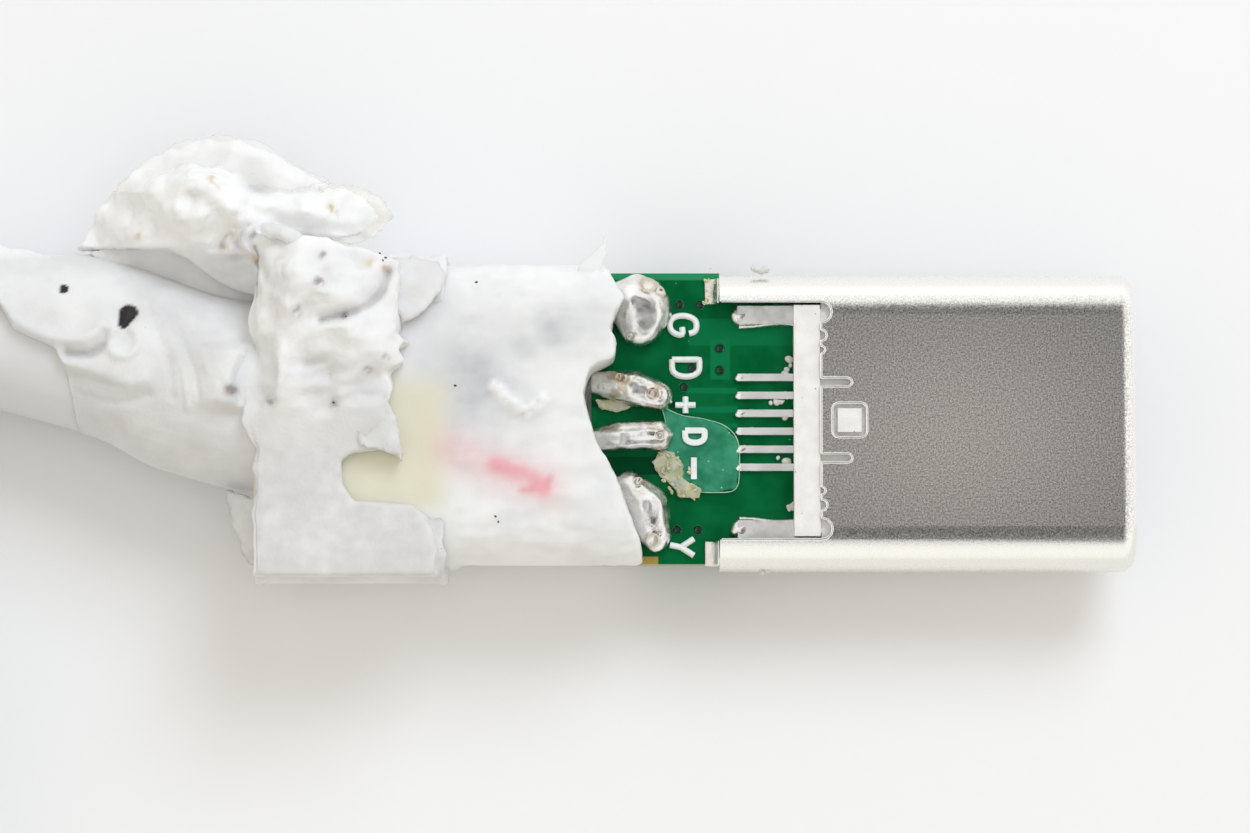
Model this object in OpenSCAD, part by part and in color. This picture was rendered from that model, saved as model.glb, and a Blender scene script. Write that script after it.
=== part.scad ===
// A USB-C cable, taken apart at its USB-C end: the grip is torn open, so that
// the inner mould, the circuit board, the solder joints and the metal shell
// show. +X points out of the USB-C mouth, +Z up, and the origin lies on the
// surface that the cable rests on, under the middle of what is left of the grip.

/* [Plug shell] */
// Width of the metal shell
shell_w = 8.25; // [8.0:0.05:8.5]
// Height of the metal shell
shell_h = 2.4; // [2.3:0.05:2.6]
// Sheet thickness of the shell
shell_wall = 0.2; // [0.15:0.01:0.22]
// Length of the shell's full tube, from the mouth back to its cut edge
shell_len = 8.7; // [8.2:0.1:9.4]
// Length of the two side arms behind the cut edge
arm_len = 2.8; // [2.4:0.1:3.2]
// Width of each side arm
arm_w = 0.825; // [0.75:0.005:0.95]
// Outside rounding of the mouth's rim
rim_round = 0.4; // [0.3:0.05:0.5]
// Depth that the rim turns inwards
rim_turn = 0.42; // [0.3:0.02:0.46]

/* [Contact housing] */
// Play between the housing and the shell around it
housing_play = 0.03; // [0.02:0.01:0.05]
// Length of the flange bar that stands behind the shell
flange_len = 0.72; // [0.6:0.02:0.9]
// Gap between the flange bar and each side arm
flange_gap = 0.1; // [0.06:0.01:0.3]
// Height of the mouth's cavity
cavity_h = 1.36; // [1.2:0.02:1.4]
// Thickness of the housing's wall on each side of the mouth's cavity
cavity_side = 0.445; // [0.4:0.005:0.5]
// Depth of the mouth's cavity
cavity_depth = 6.1; // [5.6:0.1:6.4]
// Side of the square nub that locks into the shell
nub = 0.66; // [0.5:0.02:0.7]

/* [Contacts] */
// Contacts in each row
row_count = 6; // [4:1:6]
// Distance between two contacts
pitch = 0.5; // [0.46:0.01:0.54]
// Width of a contact
contact_w = 0.2; // [0.16:0.01:0.24]
// Thickness of a contact
contact_t = 0.15; // [0.1:0.01:0.16]
// Length of a contact's tail on the board
tail_len = 1.55; // [1.2:0.05:1.8]

/* [Circuit board] */
// Width of the board behind the shell
board_w = 8.1; // [7.8:0.05:8.3]
// Sideways offset of the board and the inner mould from the shell's middle
board_shift = 0.12; // [0:0.01:0.15]
// Length of the board's wide part
board_wide_len = 3.55; // [3.4:0.05:3.7]
// Thickness of the board
board_t = 0.8; // [0.6:0.05:0.9]
// Length of board that is gripped in the housing
board_seat = 2.0; // [1.6:0.1:2.2]
// Diameter of a via
via_d = 0.22; // [0.16:0.02:0.26]

/* [Inner mould] */
// Width of the inner mould
mould_w = 8.4; // [8.3:0.05:8.8]
// Height of the inner mould
mould_h = 4.8; // [4.7:0.05:5.0]
// Corner radius of the inner mould's section
mould_round = 1.5; // [1.0:0.1:2.0]

/* [Grip] */
// Wall of the grip round the inner mould
grip_wall = 0.4; // [0.3:0.05:0.6]
// Length of grip that is left
grip_len = 5.6; // [5.2:0.1:6.0]
// Thickness of the peeled flap
flap_t = 0.5; // [0.4:0.05:0.7]

/* [Strain relief] */
// Radius of the strain relief at the grip
relief_r1 = 2.62; // [2.5:0.02:2.7]
// Radius of the strain relief at its outer end
relief_r2 = 2.36; // [2.3:0.02:2.5]
// Length of the strain relief
relief_len = 7.8; // [7.4:0.1:8.2]

/* [Wires] */
// Outside diameter of a power wire
power_d = 1.1; // [0.9:0.05:1.2]
// Outside diameter of a data wire
data_d = 0.7; // [0.6:0.05:0.8]

/* [Cable] */
// Outside diameter of the cable
cable_d = 4.2; // [4.0:0.05:4.3]
// Thickness of a tie round the folded cable
tie_t = 0.5; // [0.4:0.1:0.8]
// Width of a tie
tie_w = 5; // [3:0.5:8]

/* [Far plug] */
// Width of the far plug's metal shell
far_shell_w = 12.0; // [11.8:0.05:12.2]
// Height of the far plug's metal shell
far_shell_h = 4.5; // [4.4:0.05:4.6]
// Sheet thickness of the far plug's shell
far_wall = 0.3; // [0.25:0.05:0.4]
// Length of the far shell that shows
far_shell_len = 12.5; // [11.8:0.1:14]
// Width of the far plug's grip
far_grip_w = 15.6; // [14.6:0.1:16.2]
// Height of the far plug's grip
far_grip_h = 7.6; // [7.0:0.1:8.0]
// Length of the far plug's grip
far_grip_len = 18.5; // [16:0.5:19]
// Length of the far plug's ribbed strain relief
far_relief_len = 7.0; // [6.5:0.5:8]

/* [Hidden] */
CONTACT_NUMBERS = [for (i = [0:row_count - 1]) 4 + i];
UPPER_CONTACTS = [for (n = CONTACT_NUMBERS) str("contact_a", n)];
LOWER_CONTACTS = [for (n = CONTACT_NUMBERS) str("contact_b", n)];
FAR_CONTACTS = ["far_contact_1", "far_contact_2", "far_contact_3", "far_contact_4"];

$fn = 48;
TINY = 0.01;

// Height of the plug's own axis over the surface.
axis_z = mould_h / 2 + grip_wall;
// Places along X, worked forwards from the grip to the mouth.
grip_x0 = -grip_len / 2;
grip_x1 = grip_len / 2;
board_x0 = 6.8;
arms_x0 = board_x0 + board_wide_len;
flange_x0 = arms_x0 + 2.05;
shell_x0 = arms_x0 + arm_len;
mouth_x = shell_x0 + shell_len;
board_x1 = flange_x0 + board_seat;
board_top = board_t / 2;
// Half width of the window between the arms, and the bar that stands in it.
window_half = shell_w / 2 - arm_w;
flange_w = 2 * (window_half - flange_gap);
// Straight, flat half width of the shell between its round ends.
shell_flat = shell_w / 2 - shell_h / 2;
housing_h = shell_h - 2 * (shell_wall + housing_play);
housing_w = shell_w - 2 * (shell_wall + housing_play);
housing_x1 = mouth_x - rim_turn - 0.1;
cavity_x0 = mouth_x - cavity_depth;
cavity_w = housing_w - 2 * cavity_side;
board_play = 0.05;
neck_half = shell_flat + sqrt(pow(shell_h / 2 - shell_wall, 2) - pow(board_top, 2)) - board_play;

// Direction of the strain relief and of the cable that it holds, in plan.
relief_angle = 165;
relief_dir = [cos(relief_angle), sin(relief_angle), 0];
relief_start = [grip_x0, 0.72, axis_z];
jacket_inside = 3.9;
jacket_end = relief_start - jacket_inside * relief_dir;
relief_end = relief_start + relief_len * relief_dir;

// The folded cable: four runs a side, two wide and two high.
fold_r = 3 * cable_d;
hank_straight = 76;
hank_gap = 0.1;
hank_in = fold_r - cable_d / 2 - hank_gap;
hank_out = fold_r + 1.5 * cable_d + hank_gap;
hank_h = 2 * cable_d + 2 * hank_gap;
hank_centre_y = -12.7;
hank_right_x = -31.5;
hank_left_x = hank_right_x - hank_straight;

// Where the free cable runs at its two ends, by hand.
lead_route = [
    [-13.0, 3.35, 2.75], [-15.0, 3.7, 2.7], [-18.0, 4.05, 2.65], [-22.0, 4.1, 2.6],
    [-26.0, 4.1, 2.6], [-31.5, 4.1, 2.6]
];
tail_route = [
    [-106.0, -25.3, 2.6], [-101.5, -24.9, 2.7], [-97.0, -23.2, 2.9], [-92.5, -20.5, 3.1],
    [-88.5, -17.4, 3.4], [-84.5, -14.6, 3.6], [-80.5, -13.0, 3.8], [-76.5, -12.7, 3.8],
    [-72.0, -12.7, 3.8]
];
far_x0 = -72.0;
far_y = -12.7;
far_z = far_grip_h / 2;
far_grip_x0 = far_x0 + far_relief_len;
far_grip_x1 = far_grip_x0 + far_grip_len;
far_shell_hidden = 6;

// Helpers

function mix(a, b, t) = a + (b - a) * t;
function unit(v) = v / norm(v);
function smoothstep(a, b, x) =
    let (t = min(1, max(0, (x - a) / (b - a)))) t * t * (3 - 2 * t);

// A bump of height 1 at (cx, cy), fading over sx and sy.
function bump(x, y, cx, cy, sx, sy) = exp(-pow((x - cx) / sx, 2) - pow((y - cy) / sy, 2));

// Points of a smooth curve through a list of points, with steps between two of them.
function through(points, steps) = [
    for (i = [0:len(points) - 2])
        for (k = [0:steps - 1])
            let (
                t = k / steps,
                a = points[max(0, i - 1)], b = points[i],
                c = points[i + 1], d = points[min(len(points) - 1, i + 2)])
            0.5 * (2 * b + (c - a) * t + (2 * a - 5 * b + 4 * c - d) * t * t
                + (3 * b - a - 3 * c + d) * t * t * t),
    points[len(points) - 1]
];

// A round tube swept along a route that never points straight up.
module tube(route, d, sides = 8) {
    last = len(route) - 1;
    rings = [
        for (i = [0:last])
            let (
                along = unit(route[min(last, i + 1)] - route[max(0, i - 1)]),
                side = unit(cross(along, [0, 0, 1])),
                up = cross(side, along))
            for (k = [0:sides - 1])
                route[i] + d / 2 * (cos(360 * k / sides) * side + sin(360 * k / sides) * up)
    ];
    walls = [
        for (i = [0:last - 1]) for (k = [0:sides - 1])
            [i * sides + k, i * sides + (k + 1) % sides,
             (i + 1) * sides + (k + 1) % sides, (i + 1) * sides + k]
    ];
    ends = [[for (k = [sides - 1:-1:0]) k], [for (k = [0:sides - 1]) last * sides + k]];
    polyhedron(points = rings, faces = concat(walls, ends), convexity = 6);
}

// The solid between two surfaces over a rectangle, each a height for every (x, y).
module between(x_range, y_range, cells, low, high) {
    nx = cells[0];
    ny = cells[1];
    row = ny + 1;
    layer = (nx + 1) * row;
    points = [
        for (k = [0, 1]) for (i = [0:nx]) for (j = [0:ny])
            let (x = mix(x_range[0], x_range[1], i / nx), y = mix(y_range[0], y_range[1], j / ny))
            [x, y, k == 0 ? low(x, y) : high(x, y)]
    ];
    faces = concat(
        [for (i = [0:nx - 1]) for (j = [0:ny - 1]) let (a = i * row + j) each
            [[a, a + row, a + row + 1], [a, a + row + 1, a + 1]]],
        [for (i = [0:nx - 1]) for (j = [0:ny - 1]) let (a = layer + i * row + j) each
            [[a, a + row + 1, a + row], [a, a + 1, a + row + 1]]],
        [for (i = [0:nx - 1]) let (a = i * row) each
            [[a, a + layer, a + layer + row], [a, a + layer + row, a + row]]],
        [for (i = [0:nx - 1]) let (a = i * row + ny) each
            [[a, a + row, a + layer + row], [a, a + layer + row, a + layer]]],
        [for (j = [0:ny - 1]) each
            [[j, j + 1, j + 1 + layer], [j, j + 1 + layer, j + layer]]],
        [for (j = [0:ny - 1]) let (a = nx * row + j) each
            [[a, a + layer, a + layer + 1], [a, a + layer + 1, a + 1]]]);
    polyhedron(points = points, faces = faces, convexity = 8);
}

// A flat shape with two round ends, drawn with its width along Y and height along Z.
module stadium_bar(w, h, x0, x1) {
    translate([x0, 0, 0])
        rotate([90, 0, 90])
            linear_extrude(x1 - x0) {
                square([w - h, h], center = true);
                for (side = [-1, 1]) translate([side * (w - h) / 2, 0]) circle(d = h);
            }
}

// A bar along X with a rounded oblong section.
module rounded_bar(w, h, r, x0, x1) {
    translate([x0, 0, 0])
        rotate([90, 0, 90])
            linear_extrude(x1 - x0) rounded_rect(w, h, r);
}

module rounded_rect(w, h, r) {
    square([w - 2 * r, h], center = true);
    square([w, h - 2 * r], center = true);
    for (x = [-1, 1], y = [-1, 1])
        translate([x * (w / 2 - r), y * (h / 2 - r)]) circle(r = r);
}

// Takes a section drawn as (distance from the flat's line, place along X) round the
// whole stadium: half turns at the two ends and straight stretches between them.
module round_the_stadium(flat_half) {
    for (side = [-1, 1]) {
        translate([0, side * flat_half, 0])
            rotate([0, 90, 0])
                rotate([0, 0, side > 0 ? 0 : 180])
                    rotate_extrude(angle = 180) children();
        on_face(side) translate([0, flat_half, 0])
            rotate([90, 0, 0])
                linear_extrude(2 * flat_half) mirror([1, -1]) children();
    }
}

module on_face(side) {
    if (side > 0) children();
    else mirror([0, 0, 1]) children();
}

module at_axis() {
    translate([0, 0, axis_z]) children();
}

// Plug shell

// Section of the shell's sheet: the straight wall, and the rim that turns in at the mouth.
module shell_section() {
    outer = shell_h / 2;
    translate([outer - shell_wall, shell_x0 - arm_len])
        square([shell_wall, mouth_x - rim_round - shell_x0 + arm_len]);
    intersection() {
        difference() {
            translate([outer - rim_round, mouth_x - rim_round]) circle(r = rim_round);
            translate([outer - rim_round, mouth_x - rim_round]) circle(r = rim_round - shell_wall);
        }
        translate([outer - rim_round, mouth_x - rim_round]) square(rim_round);
    }
    translate([outer - rim_turn - TINY, mouth_x - shell_wall])
        square([rim_turn - rim_round + 2 * TINY, shell_wall]);
}

// One face's cut-outs: the window between the arms, the edge's notches and slots,
// and the square hole for the housing's nub.
module shell_cuts() {
    slot_w = 0.25;
    slot_len = 0.85;
    slot_y = 1.05;
    scallop = 0.16;
    linear_extrude(shell_h) {
        translate([arms_x0 - TINY, -window_half])
            square([shell_x0 - arms_x0 + TINY, 2 * window_half]);
        for (side = [-1, 1]) {
            translate([shell_x0, side * slot_y - slot_w / 2])
                square([slot_len - slot_w / 2, slot_w]);
            translate([shell_x0 + slot_len - slot_w / 2, side * slot_y]) circle(d = slot_w);
            translate([shell_x0, side * (window_half - 0.3)]) circle(r = 0.3);
            translate([shell_x0, side * (window_half - 0.95)]) circle(r = scallop);
            translate([shell_x0, side * (window_half - 1.35)]) circle(r = scallop * 0.7);
        }
        translate([nub_x, 0]) rounded_rect(nub + 0.3, nub + 0.3, 0.18);
    }
}

nub_x = shell_x0 + 0.78;

module plug_shell() {
    color("silver") at_axis() difference() {
        round_the_stadium(shell_flat) shell_section();
        shell_cuts();
        mirror([0, 0, 1]) shell_cuts();
    }
}

// Contact housing

// Channel that a row of contacts lies in, a little wider than the contacts.
module contact_channels() {
    play = 0.03;
    for (i = [0:row_count - 1])
        translate([flange_x0 - TINY, contact_y(i) - contact_w / 2 - play, board_top])
            cube([housing_x1 - flange_x0 - 0.25, contact_w + 2 * play, contact_roof - board_top]);
}

// Channel for the latch's legs, and the slots where its two arms can spring outwards.
module latch_channels() {
    for (side = [-1, 1]) {
        translate([flange_x0 - TINY, side * latch_y - (latch_w / 2 + latch_play), board_top])
            cube([latch_turn_x + latch_t - flange_x0 + latch_play, latch_w + 2 * latch_play,
                latch_t + latch_play]);
        translate([board_x1 - TINY, side * latch_y - (latch_w / 2 + latch_play),
            -latch_t / 2 - latch_play])
            cube([latch_turn_x + latch_t + latch_play - board_x1, latch_w + 2 * latch_play,
                board_top + latch_t]);
        translate([latch_turn_x - TINY, side > 0 ? latch_in : -housing_w / 2 - TINY,
            -latch_t / 2 - latch_play])
            cube([latch_tip_x - latch_turn_x + 0.3, housing_w / 2 - latch_in + TINY,
                latch_t + 2 * latch_play]);
    }
}

module contact_housing() {
    color("ivory") at_axis() difference() {
        union() {
            stadium_bar(housing_w, housing_h, shell_x0, housing_x1);
            translate([flange_x0, -flange_w / 2, -flange_h / 2])
                cube([flange_len, flange_w, flange_h]);
            translate([flange_x0 + flange_len - TINY, -flange_w / 2 + 0.1, -housing_h / 2])
                cube([shell_x0 - flange_x0 - flange_len + 2 * TINY, flange_w - 0.2, housing_h]);
            translate([nub_x - nub / 2, -nub / 2, -shell_h / 2 + 0.04])
                cube([nub, nub, shell_h - 0.08]);
        }
        stadium_bar(cavity_w, cavity_h, cavity_x0, mouth_x);
        translate([flange_x0 - TINY, -neck_half - board_play, -board_top])
            cube([board_seat + TINY, 2 * (neck_half + board_play), board_t]);
        for (flip = [0, 1]) mirror([0, 0, flip]) {
            contact_channels();
            spring_recess();
        }
        latch_channels();
    }
}

flange_h = shell_h - 0.16;

// Contacts

contact_roof = cavity_h / 2 + 0.02;

function contact_y(i) = (i - (row_count - 1) / 2) * pitch;

// Side view of an upper contact: the tail on the board, the straight run through the
// housing, and the sprung nose that bows into the mouth.
module contact_profile() {
    x0 = flange_x0 - tail_len;
    nose = housing_x1 - 1.0;
    tip = housing_x1 - 0.4;
    z0 = board_top;
    polygon([
        [x0, z0], [cavity_x0 + 1.4, z0], [nose - 0.35, z0 - 0.12], [nose, z0 - 0.17],
        [nose + 0.3, z0 - 0.1], [tip, z0 + 0.02], [tip, z0 + 0.02 + contact_t * 0.9],
        [nose + 0.3, z0 + contact_t - 0.1], [nose, z0 + contact_t - 0.17],
        [nose - 0.35, z0 + contact_t - 0.12], [cavity_x0 + 1.4, z0 + contact_t],
        [x0 + 0.1, z0 + contact_t], [x0, z0 + contact_t - 0.06]
    ]);
}

module contact(i) {
    color("gold") at_axis()
        translate([0, contact_y(i) + contact_w / 2, 0])
            rotate([90, 0, 0]) linear_extrude(contact_w) contact_profile();
}

module lower_contact(i) {
    translate([0, 0, 2 * axis_z]) mirror([0, 0, 1]) contact(i);
}

// Latches: a leg soldered to the board, a step down, and an arm with a hook.

latch_t = 0.25;
latch_w = 0.5;
latch_play = 0.03;
latch_y = window_half - 0.32;
latch_turn_x = board_x1 + 0.1;
latch_tip_x = mouth_x - 1.7;
latch_slot_y = cavity_w / 2 - 0.32;
latch_in = latch_y - latch_w / 2 - latch_play;

module latch() {
    color("silver") at_axis() {
        translate([flange_x0 - tail_len, latch_y - latch_w / 2, board_top])
            cube([latch_turn_x + latch_t - flange_x0 + tail_len, latch_w, latch_t]);
        translate([latch_turn_x, latch_y - latch_w / 2, -latch_t / 2])
            cube([latch_t, latch_w, board_top + latch_t]);
        translate([0, 0, -latch_t / 2]) linear_extrude(latch_t) polygon([
            [latch_turn_x, latch_y - latch_w / 2],
            [latch_turn_x + 0.5, latch_y + latch_w / 2 - 0.25],
            [latch_tip_x - 1.4, latch_slot_y + 0.22],
            [latch_tip_x - 0.7, latch_slot_y + 0.02],
            [latch_tip_x - 0.45, latch_slot_y - 0.28],
            [latch_tip_x - 0.15, latch_slot_y - 0.28],
            [latch_tip_x, latch_slot_y + 0.1],
            [latch_tip_x - 0.5, latch_slot_y + 0.3],
            [latch_tip_x - 1.4, latch_slot_y + 0.46],
            [latch_turn_x + 0.8, latch_y + latch_w / 2],
            [latch_turn_x, latch_y + latch_w / 2]
        ]);
    }
}

module latch_left() {
    latch();
}

module latch_right() {
    mirror([0, 1, 0]) latch();
}

// Ground springs: a thin plate let into each face of the housing, with fingers that
// reach through it into the mouth.

spring_t = 0.1;
spring_w = 4.8;
spring_len = 2.6;
spring_x1 = mouth_x - 1.2;
finger_w = 0.9;
finger_y = [-1.5, 0, 1.5];

module spring_recess() {
    play = 0.04;
    translate([spring_x1 - spring_len - play, -spring_w / 2 - play, housing_h / 2 - spring_t])
        cube([spring_len + 2 * play, spring_w + 2 * play, spring_t + TINY]);
    for (y = finger_y)
        translate([spring_x1 - 1.5, y - finger_w / 2 - play, cavity_h / 2 - 0.1])
            cube([1.5 + play, finger_w + 2 * play, housing_h / 2]);
}

module ground_spring_top() {
    color("gainsboro") at_axis() {
        difference() {
            translate([spring_x1 - spring_len, -spring_w / 2, housing_h / 2 - spring_t])
                cube([spring_len, spring_w, spring_t]);
            for (y = finger_y)
                translate([spring_x1 - 1.3, y - finger_w / 2, 0]) cube([1.0, finger_w, shell_h]);
        }
        for (y = finger_y)
            translate([0, y + finger_w / 2 - 0.12, 0]) rotate([90, 0, 0])
                linear_extrude(finger_w - 0.24) polygon([
                    [spring_x1 - 0.2, housing_h / 2 - spring_t],
                    [spring_x1 - 0.4, housing_h / 2 - spring_t],
                    [spring_x1 - 0.75, cavity_h / 2 - 0.12],
                    [spring_x1 - 1.15, cavity_h / 2 - 0.06],
                    [spring_x1 - 1.15, cavity_h / 2 + 0.04],
                    [spring_x1 - 0.72, cavity_h / 2 - 0.02],
                    [spring_x1 - 0.3, housing_h / 2],
                    [spring_x1 - 0.2, housing_h / 2]
                ]);
    }
}

module ground_spring_bottom() {
    translate([0, 0, 2 * axis_z]) mirror([0, 0, 1]) ground_spring_top();
}

// Circuit board

via_places = [
    [9.25, 3.29], [9.81, 3.29], [10.36, 2.07], [10.36, 1.46], [9.36, 0.99], [9.59, 1.52],
    [10.69, -0.88], [10.64, -1.44], [9.17, -2.98], [9.75, -2.98]
];

module circuit_board() {
    color("darkgreen") at_axis() difference() {
        union() {
            translate([board_x0, board_shift - board_w / 2, -board_top])
                cube([board_wide_len, board_w, board_t]);
            translate([board_x0 + board_wide_len - TINY, -neck_half, -board_top])
                cube([board_x1 - arms_x0 + TINY, 2 * neck_half, board_t]);
        }
        for (p = via_places)
            translate([p[0], p[1], -board_t]) cylinder(d = via_d, h = 2 * board_t);
    }
}

resistor_size = [0.5, 1.0, 0.35];

module pull_up_resistor() {
    color("dimgray")
        translate([9.0, 0.4, axis_z - board_top - resistor_size[2]])
            translate([0, -resistor_size[1] / 2, 0]) cube(resistor_size);
}

// Solder joints: each is the hull of a few balls along its pad, cut flat by the board
// and hollow where its wire ends in it.

ground_balls = [[7.55, 3.5, 0.42], [8.0, 3.3, 0.68], [8.35, 3.5, 0.5], [8.05, 3.7, 0.45], [8.1,
    2.6, 0.52]];
data_plus_balls = [[6.75, 1.1, 0.26], [7.4, 1.05, 0.4], [7.95, 0.95, 0.5], [8.65, 0.72, 0.42]];
data_minus_balls = [[6.85, -0.45, 0.28], [7.6, -0.4, 0.42], [8.65, -0.38, 0.42]];
power_balls = [[7.85, -1.85, 0.5], [8.3, -2.4, 0.68], [8.55, -3.0, 0.5], [8.6, -3.3, 0.34]];

module solder_joint(balls) {
    color("silver") at_axis() intersection() {
        hull() for (b = balls)
            translate([b[0], b[1], board_top + b[2] * 0.45]) sphere(r = b[2], $fn = 14);
        translate([board_x0, board_shift - board_w / 2, board_top]) cube([board_wide_len, board_w, 2]);
    }
}

module solder_ground() {
    difference() {
        solder_joint(ground_balls);
        wire_black();
    }
}

module solder_data_plus() {
    difference() {
        solder_joint(data_plus_balls);
        wire_green();
    }
}

module solder_data_minus() {
    difference() {
        solder_joint(data_minus_balls);
        wire_white();
    }
}

module solder_power() {
    difference() {
        solder_joint(power_balls);
        wire_red();
    }
}

// Fillet of solder between an arm's end and the board.
module shell_solder() {
    leg = 0.42;
    color("silver") at_axis()
        translate([arms_x0, shell_w / 2 - 0.12, board_top])
            rotate([90, 0, 0]) linear_extrude(0.72) difference() {
                translate([-leg, 0]) square([leg, leg]);
                translate([-leg, leg]) circle(r = leg - 0.06);
            }
}

module shell_solder_left() {
    shell_solder();
}

module shell_solder_right() {
    mirror([0, 1, 0]) shell_solder();
}

// Wires, from the end of the cable's jacket to their joints.

// Each wire starts inside the jacket, which is then cut away from it.
function from_jacket(side, up) = jacket_end + 0.6 * relief_dir + [0, side, up];

black_route = [
    from_jacket(0.75, 0.75), [2.6, 0.9, 3.9], [4.3, 1.9, 4.1], [5.9, 2.75, 4.2], [7.3, 3.1, 4.05]
];
red_route = [
    from_jacket(-0.75, 0.75), [2.7, -0.95, 4.1], [4.3, -1.6, 4.25], [5.9, -2.15, 4.25], [7.4, -2.25, 4.05]
];
green_route = [
    from_jacket(0.8, -0.75), [2.6, 0.5, 2.4], [4.2, 0.9, 2.9], [5.3, 1.1, 3.45], [6.5, 1.1, 3.6]
];
white_route = [
    from_jacket(-0.8, -0.75), [2.6, -0.9, 2.4], [4.2, -0.65, 2.9], [5.3, -0.5, 3.45], [6.6, -0.45, 3.6]
];

module wire(route, d, tint) {
    color(tint) difference() {
        tube(through(route, 4), d);
        cable_hole();
    }
}

module wire_black() {
    wire(black_route, power_d, "black");
}

module wire_red() {
    wire(red_route, power_d, "crimson");
}

module wire_green() {
    wire(green_route, data_d, "green");
}

module wire_white() {
    wire(white_route, data_d, "white");
}

// Inner mould: a rounded bar of clear plastic, torn off along its front edge.

torn_front = [
    [7.05, 5.1], [7.15, 4.5], [7.3, 4.1], [7.5, 3.7], [7.75, 3.35], [7.45, 2.8], [7.35, 2.4], [7.5, 2.15],
    [7.45, 1.65], [6.75, 1.3], [6.6, 0.65], [6.75, 0.1], [6.85, -0.4], [7.0, -0.8], [7.3, -1.25],
    [7.5, -1.6], [7.75, -2.3], [7.95, -2.8], [8.15, -3.4], [8.2, -3.85], [8.2, -5.1]
];

// Past every place of the torn front edge.
mould_x1 = arms_x0 - 1;

// The inner mould before it was torn: it starts inside the grip's end wall.
module mould_bar(x1) {
    at_axis() translate([0, board_shift, 0])
        rounded_bar(mould_w, mould_h, mould_round, grip_x0 + grip_wall, x1);
}

module inner_mould() {
    color("beige") difference() {
        intersection() {
            mould_bar(mould_x1);
            linear_extrude(2 * axis_z) polygon(concat(
                [[grip_x0, -5.1], [grip_x0, 5.1]], torn_front));
        }
        at_axis() translate([board_x0, board_shift - board_w / 2, -board_top])
            cube([board_wide_len, board_w, board_t]);
        for (balls = [ground_balls, data_plus_balls, data_minus_balls, power_balls])
            solder_joint(balls);
        wire_black();
        wire_red();
        wire_green();
        wire_white();
        cable_hole();
    }
}

// The straight stretch of cable that the strain relief, the grip and the mould hold.
module cable_hole() {
    translate(jacket_end) rotate([0, 0, relief_angle]) rotate([0, 90, 0])
        cylinder(d = cable_d, h = jacket_inside + relief_len + 1);
}

// Outer mould: one moulding, which is the grip's sleeve round the inner mould and the
// strain relief on the cable. The sleeve is torn: a crumpled lump stands on top of it, a
// hole goes through to the mould, and a flap of it is peeled back.

grip_w = mould_w + 2 * grip_wall;
grip_h = mould_h + 2 * grip_wall;
grip_round = mould_round + grip_wall;

// Height of the grip's top over the surface.
crumple_top = function (x, y)
    let (
        flat = 2 * axis_z + 0.02,
        lump = 1.35 * bump(x, y, -0.9, 3.5, 1.5, 1.3) + 0.9 * bump(x, y, 0.35, 1.9, 1.3, 1.1)
            + 0.75 * bump(x, y, -1.7, 1.0, 0.8, 1.4) + 0.55 * bump(x, y, 0.5, 0.2, 1.2, 0.8),
        dents = -0.55 * bump(x, y, -0.6, 2.7, 0.45, 0.3) - 0.4 * bump(x, y, -1.5, 2.1, 0.3, 0.25)
            - 0.45 * bump(x, y, 0.9, 0.9, 0.5, 0.25),
        folds = 0.14 * sin(300 * x + 170 * y) * sin(230 * y - 90 * x)
            * smoothstep(-0.6, 0.6, y) * smoothstep(-2.8, -2.2, x))
    flat + (lump + dents) * smoothstep(grip_x0 - 0.2, grip_x0 + 1.3, x) + folds;

torn_top = [
    [-2.8, 5.3], [-2.2, 4.93], [-1.8, 5.14], [-1.2, 4.9], [-0.4, 4.75], [0.9, 4.45], [1.6, 4.2],
    [1.55, 3.2], [1.62, 2.6], [1.55, 2.2], [1.85, 1.95], [1.5, 1.75], [1.75, 1.45], [1.35, 1.2],
    [1.4, 0.7], [1.25, 0.3], [1.45, -0.4], [1.65, -1.2], [1.1, -0.95], [0.3, -1.05], [0.0, -1.25],
    [0.05, -1.9], [0.35, -2.35], [1.2, -2.4], [1.9, -2.45], [2.3, -2.75], [2.55, -3.4],
    [2.7, -4.8], [-2.8, -4.8]
];

// What is left of the sleeve: whole below the mould's top, torn above it.
module grip_sleeve() {
    intersection() {
        at_axis() rounded_bar(grip_w, grip_h, grip_round, grip_x0, grip_x1);
        union() {
            translate([grip_x0, -grip_w, 0]) cube([grip_len, 2 * grip_w, axis_z + mould_h / 2]);
            linear_extrude(2 * axis_z) polygon(torn_top);
        }
    }
}

module crumpled_lump() {
    intersection() {
        between([grip_x0, 2.8], [-4.4, 5.3], [20, 32],
            function (x, y) axis_z + mould_h / 2 - 0.8, crumple_top);
        linear_extrude(3 * axis_z) polygon(torn_top);
        at_axis() rounded_bar(grip_w + 1.6, 4 * grip_h, grip_round, grip_x0, grip_x1);
    }
}

// Peeled flap: the side of the grip that is torn away and turned back.

flap_outline = [
    [-7.45, 4.85], [-6.9, 5.8], [-6.2, 6.65], [-5.4, 7.25], [-4.0, 7.8], [-2.9, 7.75], [-1.8, 7.35],
    [-1.0, 6.75], [-0.3, 6.35], [0.4, 6.25], [1.1, 5.95], [1.15, 5.75], [0.65, 5.2], [0.0, 5.0],
    [-1.3, 5.02], [-2.3, 4.98], [-2.45, 4.5], [-2.6, 3.75], [-2.95, 3.45], [-3.6, 3.85], [-4.3, 4.3],
    [-5.0, 4.55], [-5.9, 4.7]
];

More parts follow.
